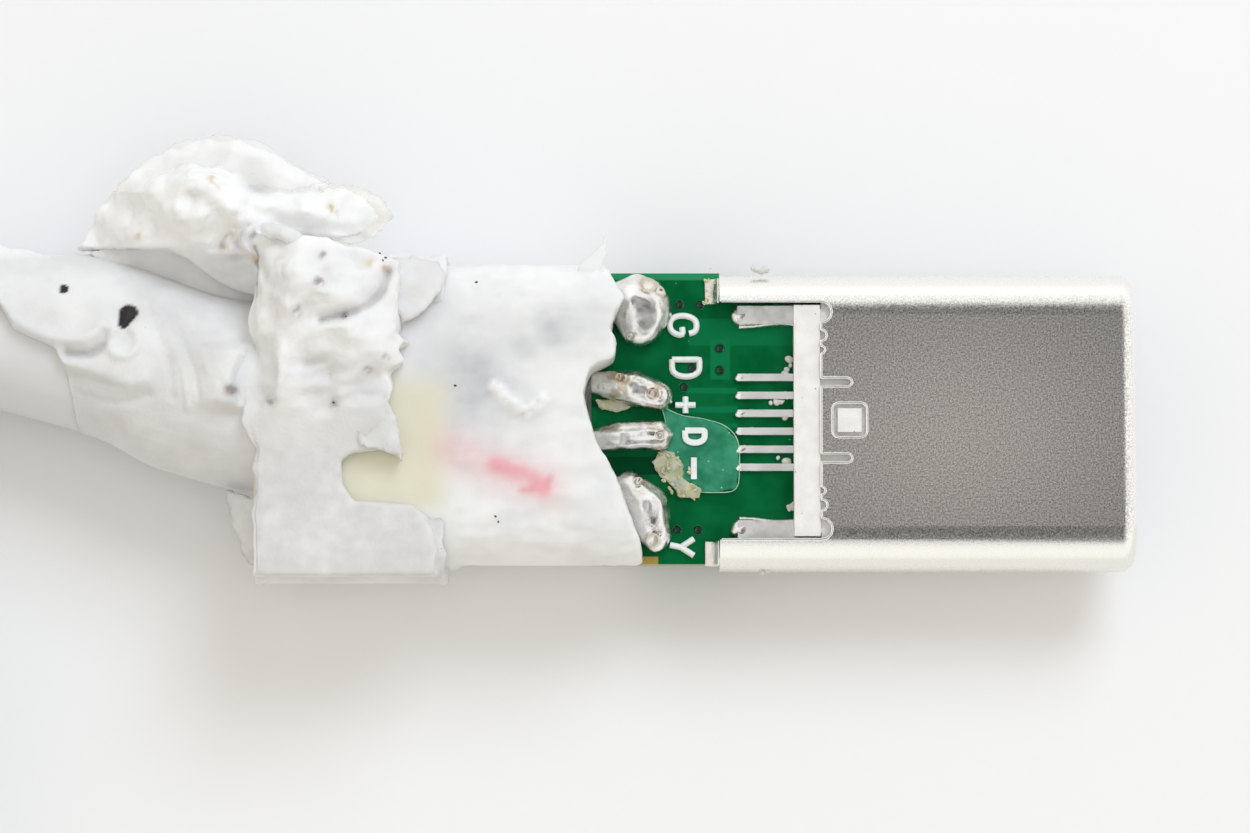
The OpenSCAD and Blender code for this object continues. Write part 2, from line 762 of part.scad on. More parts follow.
flap_top = function (x, y)
    let (
        dome = 3.1 + 2.9 * bump(x, y, -3.6, 5.6, 2.6, 2.0) + 1.5 * bump(x, y, -0.3, 5.6, 1.2, 1.2),
        ridge = 0.5 * bump(x, y, -4.6, 6.4, 1.6, 0.35) - 0.5 * bump(x, y, -3.4, 4.9, 0.5, 0.35)
            + 0.6 * bump(x, y, -2.8, 4.3, 0.35, 0.9),
        folds = 0.16 * sin(190 * x + 240 * y) + 0.1 * sin(420 * x - 150 * y))
    dome + ridge + folds;

module peeled_flap() {
    intersection() {
        between([-7.6, 1.3], [3.3, 7.9], [26, 16],
            function (x, y) flap_top(x, y) - flap_t, flap_top);
        linear_extrude(3 * axis_z) polygon(flap_outline);
    }
}

// Strain relief: a tapered sleeve on the cable, torn off its near side at the outer end.

torn_relief = [
    [-12, -2.5], [-7.35, -2.5], [-7.4, -0.55], [-7.45, 0.4], [-7.6, 1.3], [-7.9, 1.9], [-8.5, 2.15],
    [-9.0, 2.4], [-9.3, 2.9], [-9.6, 3.4], [-12, 4.2]
];

module strain_relief() {
    translate(relief_start - relief_dir) rotate([0, 0, relief_angle]) rotate([0, 90, 0])
        cylinder(r1 = relief_r1, r2 = relief_r2, h = relief_len + 1);
}

module outer_mould() {
    color("white") difference() {
        union() {
            grip_sleeve();
            crumpled_lump();
            peeled_flap();
            strain_relief();
        }
        mould_bar(grip_x1 + 1);
        cable_hole();
        translate([0, 0, -1]) linear_extrude(2 * axis_z + 2) polygon(torn_relief);
    }
}

// Cable

module cable_lead() {
    color("whitesmoke") difference() {
        tube(concat([jacket_end, relief_start, relief_end + relief_dir], through(lead_route, 2)),
            cable_d, 8);
        hank_solid();
    }
}

module cable_tail() {
    color("whitesmoke") difference() {
        tube(through(tail_route, 2), cable_d, 8);
        hank_solid();
    }
}

module hank_outline(r) {
    translate([-hank_straight / 2, -r]) square([hank_straight, 2 * r]);
    for (side = [-1, 1]) translate([side * hank_straight / 2, 0]) circle(r = r);
}

module hank_solid() {
    translate([(hank_left_x + hank_right_x) / 2, hank_centre_y, tie_t])
        linear_extrude(hank_h) difference() {
            hank_outline(hank_out);
            hank_outline(hank_in);
        }
}

module cable_hank() {
    color("whitesmoke") hank_solid();
}

// A flat band round one side of the folded cable.
module cable_tie(side) {
    middle = (hank_in + hank_out) / 2;
    opening = hank_out - hank_in;
    color("dimgray")
        translate([(hank_left_x + hank_right_x) / 2 - tie_w / 2, hank_centre_y + side * middle,
            tie_t + hank_h / 2])
            rotate([90, 0, 90]) linear_extrude(tie_w) difference() {
                square([opening + 2 * tie_t, hank_h + 2 * tie_t], center = true);
                square([opening, hank_h], center = true);
            }
}

module cable_tie_front() {
    cable_tie(-1);
}

module cable_tie_back() {
    cable_tie(1);
}

// Far plug

module at_far() {
    translate([0, far_y, far_z]) children();
}

module far_grip() {
    rib = 0.9;
    color("white") at_far() difference() {
        union() {
            rounded_bar(far_grip_w, far_grip_h, 2.2, far_grip_x0, far_grip_x1);
            translate([far_x0, 0, 0]) rotate([0, 90, 0])
                cylinder(r1 = cable_d / 2 + 0.6, r2 = cable_d / 2 + 1.5, h = far_relief_len);
        }
        for (x = [far_x0 + 1.2:2 * rib:far_grip_x0 - 1])
            translate([x, 0, 0]) rotate([0, 90, 0]) difference() {
                cylinder(r = 5, h = rib);
                cylinder(r = cable_d / 2 + 0.55, h = rib);
            }
        translate([far_x0 - TINY, 0, 0]) rotate([0, 90, 0]) cylinder(d = cable_d, h = far_relief_len + 4);
        translate([far_grip_x1 - far_shell_hidden, -far_shell_w / 2, -far_shell_h / 2])
            cube([far_shell_hidden + TINY, far_shell_w, far_shell_h]);
    }
}

module far_shell() {
    hole = 2.2;
    x0 = far_grip_x1 - far_shell_hidden;
    x1 = far_grip_x1 + far_shell_len;
    color("silver") at_far() difference() {
        translate([x0, -far_shell_w / 2, -far_shell_h / 2])
            cube([x1 - x0, far_shell_w, far_shell_h]);
        translate([x0 - TINY, -far_shell_w / 2 + far_wall, -far_shell_h / 2 + far_wall])
            cube([x1 - x0 + 2 * TINY, far_shell_w - 2 * far_wall, far_shell_h - 2 * far_wall]);
        for (side = [-1, 1])
            translate([x1 - 6.6, side * far_shell_w * 0.21 - hole / 2, -far_shell_h])
                cube([hole, hole, 2 * far_shell_h]);
    }
}

function far_contact_y(i) = [-3.5, -1.0, 1.0, 3.5][i];
far_contact_w = 1.0;
far_contact_t = 0.3;
far_tongue_h = 1.9;
far_tongue_top = -far_shell_h / 2 + far_wall + far_tongue_h;

module far_tongue() {
    x0 = far_grip_x1 - far_shell_hidden;
    color("white") at_far() difference() {
        translate([x0, -far_shell_w / 2 + far_wall, -far_shell_h / 2 + far_wall])
            cube([far_shell_hidden + far_shell_len - 0.6, far_shell_w - 2 * far_wall, far_tongue_h]);
        for (i = [0:3])
            translate([x0 - TINY, far_contact_y(i) - far_contact_w / 2, far_tongue_top - far_contact_t])
                cube([far_shell_hidden + far_contact_reach(i) + TINY, far_contact_w,
                    far_contact_t + TINY]);
    }
}

// The outer two contacts reach further, so that they meet first.
function far_contact_reach(i) = i == 0 || i == 3 ? 10.5 : 9.5;

module far_contact(i) {
    color("gold") at_far()
        translate([far_grip_x1 - far_shell_hidden, far_contact_y(i) - far_contact_w / 2,
            far_tongue_top - far_contact_t])
            cube([far_shell_hidden + far_contact_reach(i), far_contact_w, far_contact_t]);
}

// What is drawn

plug_shell();
contact_housing();
for (i = [0:row_count - 1]) {
    contact(i);
    lower_contact(i);
}
latch_left();
latch_right();
ground_spring_top();
ground_spring_bottom();
circuit_board();
pull_up_resistor();
solder_ground();
solder_data_plus();
solder_data_minus();
solder_power();
shell_solder_left();
shell_solder_right();
wire_black();
wire_green();
wire_white();
wire_red();
inner_mould();
outer_mould();
cable_lead();
cable_hank();
cable_tail();
cable_tie_front();
cable_tie_back();
far_grip();
far_shell();
far_tongue();
for (i = [0:3])
    far_contact(i);
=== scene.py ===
# %% [markdown]
# # A USB-C cable, taken apart at its USB-C end
#
# The solids come packed from the CAD source. This lesson dresses them: it adds the camera,
# the cord, the torn and crumpled plastic, the small printed and soldered details and all the
# materials. Everything is in metres, in the CAD's own frame: +X out of the USB-C mouth, +Z up,
# and z = 0 is the surface that the cable lies on.

import math

import bpy
import numpy as np
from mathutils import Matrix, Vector, geometry, noise
from mathutils.bvhtree import BVHTree


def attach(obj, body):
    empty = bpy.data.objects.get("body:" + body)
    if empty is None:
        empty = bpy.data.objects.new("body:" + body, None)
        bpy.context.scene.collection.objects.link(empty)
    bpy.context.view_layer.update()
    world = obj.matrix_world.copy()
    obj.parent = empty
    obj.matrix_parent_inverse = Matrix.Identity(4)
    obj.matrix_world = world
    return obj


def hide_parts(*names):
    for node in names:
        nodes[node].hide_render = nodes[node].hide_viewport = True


MM = 0.001
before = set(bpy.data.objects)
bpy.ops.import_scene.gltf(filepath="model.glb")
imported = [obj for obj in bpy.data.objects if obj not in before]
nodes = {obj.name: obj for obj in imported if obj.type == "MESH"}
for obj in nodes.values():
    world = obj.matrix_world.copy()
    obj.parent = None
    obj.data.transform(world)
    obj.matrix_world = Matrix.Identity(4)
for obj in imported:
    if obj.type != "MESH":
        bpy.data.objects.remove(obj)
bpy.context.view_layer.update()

# %% [markdown]
# ## Camera
# The photo looks almost straight down, from about 135 mm, leaning 5.5 degrees to the south. One
# millimetre at the shell's height is 36.2 of its 1250 by 833 pixels.

# %%
# Camera
PIXELS_PER_MM = 36.2
VIEW_WIDTH = 1250 / PIXELS_PER_MM * MM
CAMERA_DISTANCE = 135 * MM
CAMERA_LEAN = math.radians(5.5)
CAMERA_TARGET = Vector((7.735, 0.124, 3.7)) * MM

camera_data = bpy.data.cameras.new("camera")
camera_data.sensor_width = 36
camera_data.lens = 36 * CAMERA_DISTANCE / VIEW_WIDTH
camera_data.clip_start = 0.001
camera_data.clip_end = 10
camera = bpy.data.objects.new("camera", camera_data)
bpy.context.scene.collection.objects.link(camera)
camera.location = CAMERA_TARGET + CAMERA_DISTANCE * Vector(
    (0, -math.sin(CAMERA_LEAN), math.cos(CAMERA_LEAN))
)
camera.rotation_euler = (CAMERA_LEAN, 0, 0)
bpy.context.scene.camera = camera
bpy.context.scene.view_settings.view_transform = "Standard"
print("lens in mm:", round(camera_data.lens, 1))

# %% [markdown]
# ## Small helpers
# A piece's mesh is made in place, so that its object stays at the origin. `add_piece` links it,
# gives it a material and makes it ride on the cable's one body.

# %%
# Helpers for pieces and meshes


def add_piece(name, mesh, material, replaces=()):
    """Links a finished mesh as a piece of the object."""
    piece = bpy.data.objects.new(name, mesh)
    bpy.context.scene.collection.objects.link(piece)
    mesh.materials.clear()
    mesh.materials.append(material)
    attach(piece, "root")
    if replaces:
        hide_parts(*replaces)
    print(f"{name}: {len(mesh.polygons)} faces")
    return piece


def baked(mesh, setup):
    """The mesh as it is after the modifiers that setup adds, and with none of them left."""
    maker = bpy.data.objects.new("maker", mesh)
    bpy.context.scene.collection.objects.link(maker)
    setup(maker)
    depsgraph = bpy.context.evaluated_depsgraph_get()
    done = bpy.data.meshes.new_from_object(maker.evaluated_get(depsgraph), depsgraph=depsgraph)
    bpy.data.objects.remove(maker)
    return done


def positions(mesh):
    """The mesh's points as rows, in millimetres."""
    flat = np.zeros(3 * len(mesh.vertices))
    mesh.vertices.foreach_get("co", flat)
    return flat.reshape(-1, 3) / MM


def normals(mesh):
    flat = np.zeros(3 * len(mesh.vertices))
    mesh.vertices.foreach_get("normal", flat)
    return flat.reshape(-1, 3)


def set_positions(mesh, points):
    mesh.vertices.foreach_set("co", (points * MM).ravel())
    mesh.update()


def shade_smooth(mesh):
    mesh.polygons.foreach_set("use_smooth", np.ones(len(mesh.polygons), bool))


def paint(mesh, name, values):
    """Stores one number per point, for a material to read."""
    attribute = mesh.attributes.new(name, "FLOAT", "POINT")
    attribute.data.foreach_set("value", np.asarray(values, np.float32))


def fractal(points, scale, octaves=3, seed=0.0):
    """Smooth noise, about -1 to 1, with features of about scale millimetres."""
    shifted = points / scale + seed
    return np.array([noise.fractal(Vector(p), 1.0, 2.0, octaves) for p in shifted])


def ridges(points, scale, octaves=3, seed=0.0):
    """Noise with sharp crests, 0 to about 1, as crumpled sheet has."""
    return 1 - 2 * np.abs(fractal(points, scale, octaves, seed))


def line_distance(points, line):
    """Each point's distance in plan from a line through places in millimetres."""
    flat = points[:, :2]
    best = np.full(len(flat), 1e9)
    for a, b in zip(line[:-1], line[1:]):
        a, b = np.array(a, float), np.array(b, float)
        along = b - a
        t = np.clip((flat - a) @ along / max(along @ along, 1e-9), 0, 1)
        best = np.minimum(best, np.linalg.norm(flat - a - t[:, None] * along, axis=1))
    return best


def stamp(points, line, width):
    """1 on the line, fading to 0 about two widths away."""
    return np.exp(-((line_distance(points, line) / width) ** 2))


def spot(points, x, y, radius):
    return stamp(points, [(x, y), (x, y)], radius)


def fade(values, start, end):
    """0 before start and 1 after end, smooth between them."""
    t = np.clip((values - start) / (end - start), 0, 1)
    return t * t * (3 - 2 * t)


def smooth_path(places, step):
    """Points every step or so, in millimetres, on a smooth curve through the places."""
    places = [np.array(p, float) for p in places]
    found = []
    for i in range(len(places) - 1):
        a, b = places[max(0, i - 1)], places[i]
        c, d = places[i + 1], places[min(len(places) - 1, i + 2)]
        count = max(2, round(np.linalg.norm(c - b) / step))
        for k in range(count):
            t = k / count
            found.append(
                0.5 * (2 * b + (c - a) * t + (2 * a - 5 * b + 4 * c - d) * t**2
                       + (3 * b - a - 3 * c + d) * t**3)
            )
    return found + [places[-1]]


# %% [markdown]
# ## Shader groups
# Effects that several materials share are node groups. They give only masks, colours and
# normals, and read the object's own coordinates. Each material keeps its own Principled shader.

# %%
# Shader groups for tone, specks and grain


def shader_group(name, inputs, outputs):
    """An empty shader group with float inputs (name, default) and outputs (name, type)."""
    group = bpy.data.node_groups.new(name, "ShaderNodeTree")
    for label, value in inputs:
        socket = group.interface.new_socket(label, in_out="INPUT", socket_type="NodeSocketFloat")
        socket.default_value = value
    for label, kind in outputs:
        group.interface.new_socket(label, in_out="OUTPUT", socket_type=kind)
    return group, group.nodes.new("NodeGroupInput"), group.nodes.new("NodeGroupOutput")


def add(tree, kind, settings=None, **values):
    """A node with its properties and input values set."""
    node = tree.nodes.new(kind)
    for key, value in (settings or {}).items():
        setattr(node, key, value)
    for key, value in values.items():
        node.inputs[key.replace("_", " ")].default_value = value
    return node


def make_tone_group():
    """Soft cloudy mask: Scale is the clouds' size in millimetres, Low and High its limits."""
    inputs = [("Scale", 1.0), ("Low", 0.35), ("High", 0.65), ("Detail", 3.0)]
    group, start, end = shader_group("tone_mask", inputs, [("Mask", "NodeSocketFloat")])
    place = add(group, "ShaderNodeTexCoord")
    per_metre = add(group, "ShaderNodeMath", {"operation": "DIVIDE"})
    per_metre.inputs[0].default_value = 1 / MM
    clouds = add(group, "ShaderNodeTexNoise")
    limits = add(group, "ShaderNodeMapRange")
    link = group.links.new
    link(start.outputs["Scale"], per_metre.inputs[1])
    link(place.outputs["Object"], clouds.inputs["Vector"])
    link(per_metre.outputs[0], clouds.inputs["Scale"])
    link(start.outputs["Detail"], clouds.inputs["Detail"])
    link(clouds.outputs["Fac"], limits.inputs["Value"])
    link(start.outputs["Low"], limits.inputs["From Min"])
    link(start.outputs["High"], limits.inputs["From Max"])
    link(limits.outputs["Result"], end.inputs["Mask"])
    return group


def make_speck_group():
    """Scattered round specks: Spacing and Size in millimetres, Share how many places have one."""
    inputs = [("Spacing", 0.5), ("Size", 0.05), ("Share", 0.3)]
    group, start, end = shader_group("speck_mask", inputs, [("Mask", "NodeSocketFloat")])
    place = add(group, "ShaderNodeTexCoord")
    per_metre = add(group, "ShaderNodeMath", {"operation": "DIVIDE"})
    per_metre.inputs[0].default_value = 1 / MM
    cells = add(group, "ShaderNodeTexVoronoi")
    size = add(group, "ShaderNodeMath", {"operation": "DIVIDE"})
    inside = add(group, "ShaderNodeMath", {"operation": "LESS_THAN"})
    pick = add(group, "ShaderNodeSeparateColor")
    chosen = add(group, "ShaderNodeMath", {"operation": "LESS_THAN"})
    both = add(group, "ShaderNodeMath", {"operation": "MULTIPLY"})
    link = group.links.new
    link(start.outputs["Spacing"], per_metre.inputs[1])
    link(place.outputs["Object"], cells.inputs["Vector"])
    link(per_metre.outputs[0], cells.inputs["Scale"])
    link(start.outputs["Size"], size.inputs[0])
    link(start.outputs["Spacing"], size.inputs[1])
    link(cells.outputs["Distance"], inside.inputs[0])
    link(size.outputs[0], inside.inputs[1])
    link(cells.outputs["Color"], pick.inputs["Color"])
    link(pick.outputs["Red"], chosen.inputs[0])
    link(start.outputs["Share"], chosen.inputs[1])
    link(inside.outputs[0], both.inputs[0])
    link(chosen.outputs[0], both.inputs[1])
    link(both.outputs[0], end.inputs["Mask"])
    return group


def make_grain_group():
    """A bumpy normal: Scale is the grain's size in millimetres, Depth its height in millimetres."""
    inputs = [("Scale", 0.1), ("Depth", 0.01), ("Strength", 0.5), ("Stretch", 1.0)]
    group, start, end = shader_group("grain_normal", inputs, [("Normal", "NodeSocketVector")])
    place = add(group, "ShaderNodeTexCoord")
    stretch = add(group, "ShaderNodeCombineXYZ", X=1.0, Z=1.0)
    scaled = add(group, "ShaderNodeVectorMath", {"operation": "MULTIPLY"})
    per_metre = add(group, "ShaderNodeMath", {"operation": "DIVIDE"})
    per_metre.inputs[0].default_value = 1 / MM
    grain = add(group, "ShaderNodeTexNoise", Detail=4.0)
    depth = add(group, "ShaderNodeMath", {"operation": "MULTIPLY"})
    depth.inputs[1].default_value = MM
    bump = add(group, "ShaderNodeBump")
    link = group.links.new
    link(place.outputs["Object"], scaled.inputs[0])
    link(start.outputs["Stretch"], stretch.inputs["Y"])
    link(stretch.outputs["Vector"], scaled.inputs[1])
    link(scaled.outputs["Vector"], grain.inputs["Vector"])
    link(start.outputs["Scale"], per_metre.inputs[1])
    link(per_metre.outputs[0], grain.inputs["Scale"])
    link(start.outputs["Depth"], depth.inputs[0])
    link(depth.outputs[0], bump.inputs["Distance"])
    link(start.outputs["Strength"], bump.inputs["Strength"])
    link(grain.outputs["Fac"], bump.inputs["Height"])
    link(bump.outputs["Normal"], end.inputs["Normal"])
    return group


GROUPS = {"tone": make_tone_group(), "speck": make_speck_group(), "grain": make_grain_group()}
print("shader groups:", sorted(g.name for g in GROUPS.values()))

# %% [markdown]
# ## Materials
# `finish` makes a material from two tones that clouds mix, scattered specks, roughness that
# varies with the clouds, and a grain. `overlay` then mixes a further colour in by a mask.

# %%
# Material builder


def grouped(tree, key, **values):
    node = tree.nodes.new("ShaderNodeGroup")
    node.node_tree = GROUPS[key]
    for name, value in values.items():
        node.inputs[name].default_value = value
    return node


def mixed(tree, mask, first, second):
    """A colour that goes from first to second by a mask. Each is a socket or a colour."""
    mix = add(tree, "ShaderNodeMix", {"data_type": "RGBA"})
    for place, value in ((6, first), (7, second)):
        if isinstance(value, tuple):
            mix.inputs[place].default_value = (*value, 1.0)
        else:
            tree.links.new(value, mix.inputs[place])
    tree.links.new(mask, mix.inputs[0])
    return mix.outputs[2]


def finish(name, tone_a, tone_b, roughness, cloud=1.0, grain=(0.1, 0.01), metallic=0.0,
           specks=None, subsurface=0.0, coat=0.0, stretch=1.0, alpha=1.0, specular=0.5):
    """A material with two cloudy tones, specks and a grain. Sizes are in millimetres."""
    material = bpy.data.materials.new(name)
    material.use_nodes = True
    tree = material.node_tree
    shader = tree.nodes["Principled BSDF"]
    tone = grouped(tree, "tone", Scale=cloud, Low=0.35, High=0.65)
    colour = mixed(tree, tone.outputs["Mask"], tone_a, tone_b)
    if specks:
        spacing, size, share, speck_colour = specks
        speck = grouped(tree, "speck", Spacing=spacing, Size=size, Share=share)
        colour = mixed(tree, speck.outputs["Mask"], colour, speck_colour)
    tree.links.new(colour, shader.inputs["Base Color"])
    rough = add(tree, "ShaderNodeMapRange", To_Min=roughness[0], To_Max=roughness[1])
    tree.links.new(tone.outputs["Mask"], rough.inputs["Value"])
    tree.links.new(rough.outputs["Result"], shader.inputs["Roughness"])
    bump = grouped(tree, "grain", Scale=grain[0], Depth=grain[1], Stretch=stretch)
    tree.links.new(bump.outputs["Normal"], shader.inputs["Normal"])
    shader.inputs["Metallic"].default_value = metallic
    shader.inputs["Specular IOR Level"].default_value = specular
    shader.inputs["Subsurface Weight"].default_value = subsurface
    shader.inputs["Subsurface Radius"].default_value = (1.0, 0.95, 0.85)
    shader.inputs["Subsurface Scale"].default_value = 0.5 * MM
    shader.inputs["Coat Weight"].default_value = coat
    shader.inputs["Alpha"].default_value = alpha
    return material


def base_colour(material):
    """The socket that the material's colour comes from, and its tree."""
    tree = material.node_tree
    return tree, tree.nodes["Principled BSDF"].inputs["Base Color"].links[0].from_socket


def overlay(material, mask, colour):
    """Lays a colour over the material where the mask socket is 1."""
    tree, below = base_colour(material)
    above = mixed(tree, mask, below, colour)
    tree.links.new(above, tree.nodes["Principled BSDF"].inputs["Base Color"])


def painted_mask(material, name):
    """The socket of a number that paint() stored."""
    node = add(material.node_tree, "ShaderNodeAttribute", {"attribute_name": name})
    return node.outputs["Fac"]


def band_mask(material, axis, start, end, soft=0.01):
    """1 where the object coordinate on an axis lies between start and end, in millimetres."""
    tree = material.node_tree
    place = add(tree, "ShaderNodeTexCoord")
    parts = add(tree, "ShaderNodeSeparateXYZ")
    tree.links.new(place.outputs["Object"], parts.inputs["Vector"])
    sides = []
    for edge, sign in ((start, 1), (end, -1)):
        side = add(tree, "ShaderNodeMapRange", From_Min=(edge - sign * soft) * MM,
                   From_Max=(edge + sign * soft) * MM)
        tree.links.new(parts.outputs[axis], side.inputs["Value"])
        sides.append(side.outputs["Result"])
    return multiplied(tree, *sides)


def multiplied(tree, first, second):
    product = add(tree, "ShaderNodeMath", {"operation": "MULTIPLY"})
    tree.links.new(first, product.inputs[0])
    tree.links.new(second, product.inputs[1])
    return product.outputs[0]


def box_mask(material, x, y, soft=0.02):
    return multiplied(material.node_tree, band_mask(material, "X", *x, soft),
                      band_mask(material, "Y", *y, soft))


# %%
# Materials of the torn plastic and the cord
BROWN = (0.13, 0.07, 0.035)
white = finish("white_moulding", (0.68, 0.68, 0.675), (0.78, 0.78, 0.775), (0.42, 0.6), 1.3,
               (0.12, 0.03), subsurface=0.15, specks=(0.45, 0.018, 0.12, (0.35, 0.3, 0.24)))
# Painted light: the flap and the lump are made lighter.
overlay(white, painted_mask(white, "painted_light"), (0.88, 0.88, 0.875))
# Painted shade: darker in the folds, in the crumpled valleys and over the sleeve's lower block.
overlay(white, painted_mask(white, "painted_shade"), (0.48, 0.46, 0.46))
overlay(white, painted_mask(white, "stain"), (0.62, 0.50, 0.33))
overlay(white, painted_mask(white, "smudge"), (0.17, 0.12, 0.12))
overlay(white, painted_mask(white, "dirt"), (0.018, 0.015, 0.017))
milky = finish("inner_moulding", (0.75, 0.755, 0.755), (0.84, 0.84, 0.835), (0.28, 0.5), 1.6,
               (0.3, 0.03), subsurface=0.6)
overlay(milky, painted_mask(milky, "grey"), (0.42, 0.44, 0.47))
overlay(milky, painted_mask(milky, "cream"), (0.72, 0.69, 0.52))
overlay(milky, painted_mask(milky, "pink"), (0.77, 0.33, 0.37))
overlay(milky, painted_mask(milky, "chalk"), (0.84, 0.84, 0.83))
film = finish("thin_film", (0.88, 0.88, 0.86), (0.93, 0.93, 0.92), (0.3, 0.5), 0.8, (0.2, 0.01), alpha=0.26)
cream_film = finish("cream_film", (0.89, 0.87, 0.78), (0.93, 0.92, 0.86), (0.3, 0.5), 0.8,
                    (0.2, 0.01), alpha=0.35)
jacket = finish("cord_jacket", (0.70, 0.70, 0.71), (0.77, 0.77, 0.78), (0.42, 0.55), 6.0,
                (0.12, 0.008), specks=(1.8, 0.05, 0.15, (0.6, 0.58, 0.54)), subsurface=0.2)
grip_white = finish("far_moulding", (0.66, 0.66, 0.66), (0.74, 0.74, 0.74), (0.45, 0.58), 5.0,
                    (0.1, 0.01), specks=(2.0, 0.05, 0.1, (0.6, 0.58, 0.54)), subsurface=0.2)
tie_black = finish("tie_band", (0.02, 0.02, 0.022), (0.045, 0.045, 0.047), (0.4, 0.6), 1.0, (0.3, 0.03))
print("plastic materials:", len(bpy.data.materials))

# %%
# Materials of the metal
nickel = finish("nickel_shell", (0.48, 0.455, 0.42), (1.0, 0.98, 0.94), (0.26, 0.3), 0.05,
                (0.042, 0.0048), metallic=1.0, specks=(0.6, 0.02, 0.12, (1.0, 1.0, 0.97)))
# Painted highlight: below the flat top, the shell's sides get one plain bright colour without the top's
# clouds.
painted_bright_sides = band_mask(nickel, "Z", -1.0, 3.9, 0.08)
overlay(nickel, painted_bright_sides, (0.95, 0.94, 0.915))
# Painted shade: the shell's south side is darker and warmer than its other sides.
painted_south_shade = multiplied(nickel.node_tree, painted_bright_sides, band_mask(nickel, "Y", -4.3, -2.9, 0.1))
overlay(nickel, painted_south_shade, (0.86, 0.845, 0.79))
# Painted highlight: a brighter copy of the shell's metal, swept along the shell's edges.
rim_highlight_metal = finish("rim_highlights", (0.88, 0.87, 0.85), (0.98, 0.97, 0.95), (0.25, 0.35), 0.3, (0.05, 0.004),
                   metallic=1.0)
spring_metal = finish("spring_sheet", (0.80, 0.79, 0.76), (0.95, 0.94, 0.92), (0.5, 0.65), 0.3,
                      (0.04, 0.006), metallic=1.0)
gold = finish("contact_metal", (0.85, 0.60, 0.25), (0.95, 0.74, 0.38), (0.45, 0.6), 0.4,
              (0.05, 0.004), metallic=1.0)
tinned = band_mask(gold, "X", 5.0, 13.2, 0.1)
overlay(gold, tinned, (0.93, 0.92, 0.89))
solder = finish("solder", (0.74, 0.73, 0.70), (0.96, 0.955, 0.94), (0.2, 0.38), 0.45,
                (0.07, 0.012), metallic=1.0, specks=(0.3, 0.025, 0.12, BROWN))
overlay(solder, painted_mask(solder, "flux"), (0.50, 0.40, 0.27))

# %%
# Materials of the housing, the board and the wires
ivory = finish("ivory_housing", (0.79, 0.77, 0.735), (0.86, 0.845, 0.815), (0.4, 0.55), 0.4,
               (0.1, 0.015), specks=(0.18, 0.016, 0.22, BROWN), subsurface=0.25)
tongue = finish("tongue_plastic", (0.78, 0.78, 0.76), (0.84, 0.84, 0.82), (0.4, 0.55), 2.0, (0.1, 0.01))
board = finish("solder_mask", (0.001, 0.095, 0.026), (0.002, 0.125, 0.038), (0.14, 0.24), 0.6,
               (0.2, 0.003), specks=(0.35, 0.014, 0.2, (0.5, 0.55, 0.5)), specular=0.02)
LIGHT_GREEN = (0.004, 0.165, 0.058)
# Darker green for painted shadows on the board south of the data joints.
PAINTED_SHADOW_GREEN = (0.001, 0.05, 0.017)
for x_range, y_range, tint in (
    ((9.5, 12.5), (2.15, 2.9), (0.003, 0.15, 0.05)),
    ((10.1, 10.65), (1.2, 2.35), LIGHT_GREEN),
    ((9.45, 10.85), (0.81, 0.97), LIGHT_GREEN),
    ((9.45, 10.85), (0.28, 0.46), LIGHT_GREEN),
    ((9.45, 10.85), (-0.14, -0.02), LIGHT_GREEN),
    # Painted shadows: darker green strips on the board just south of the data joints.
    ((6.8, 9.2), (0.42, 0.62), PAINTED_SHADOW_GREEN),
    ((6.8, 9.2), (-1.45, -0.95), PAINTED_SHADOW_GREEN),
    ((6.8, 10.35), (3.98, 4.3), (0.02, 0.26, 0.10)),
    ((8.0, 8.65), (-4.1, -3.72), (0.36, 0.27, 0.07)),
):
    overlay(board, box_mask(board, x_range, y_range), tint)
overlay(board, band_mask(board, "Z", 2.44, 3.14, 0.02), (0.42, 0.38, 0.2))
silk = finish("board_print", (0.74, 0.78, 0.76), (0.86, 0.88, 0.86), (0.5, 0.7), 0.3, (0.06, 0.01))
flux = finish("flux_residue", (0.90, 0.85, 0.50), (0.97, 0.96, 0.82), (0.06, 0.16), 0.2, (0.12, 0.03))
flux.node_tree.nodes["Principled BSDF"].inputs["Transmission Weight"].default_value = 0.6
via_metal = finish("via_rings", (0.002, 0.085, 0.03), (0.006, 0.13, 0.05), (0.2, 0.35), 0.2, (0.05, 0.01),
                   specular=0.15)
# Painted shade: near-black discs stand for the dark inside of the via holes.
hole_shade_material = finish("via_fills", (0.001, 0.02, 0.01), (0.004, 0.035, 0.018), (0.2, 0.35), 0.1, (0.05, 0.01))
flake_green = finish("lifted_mask", (0.014, 0.21, 0.10), (0.045, 0.33, 0.19), (0.18, 0.35), 0.5,
                     (0.25, 0.02), coat=0.15, alpha=0.85, specks=(0.2, 0.018, 0.25, (0.6, 0.7, 0.5)),
                     specular=0.2)
flake_edge = finish("flake_edge", (0.25, 0.62, 0.42), (0.60, 0.85, 0.70), (0.15, 0.3), 0.2, (0.1, 0.01),
                    coat=0.5, alpha=0.7)
chip = finish("chip_coat", (0.02, 0.02, 0.02), (0.04, 0.04, 0.04), (0.35, 0.5), 0.3, (0.05, 0.005))
crumb = finish("residue", (0.72, 0.71, 0.67), (0.86, 0.86, 0.83), (0.3, 0.5), 0.1, (0.05, 0.02), alpha=0.85)
dirt = finish("dark_specks", (0.03, 0.02, 0.02), (0.09, 0.06, 0.045), (0.5, 0.8), 0.05, (0.03, 0.01))
WIRE_TINTS = {
    "black": ((0.012, 0.012, 0.014), (0.03, 0.03, 0.033)),
    "green": ((0.02, 0.22, 0.07), (0.03, 0.30, 0.10)),
    "white": ((0.70, 0.70, 0.69), (0.80, 0.80, 0.79)),
    "red": ((0.42, 0.02, 0.02), (0.55, 0.035, 0.03)),
}
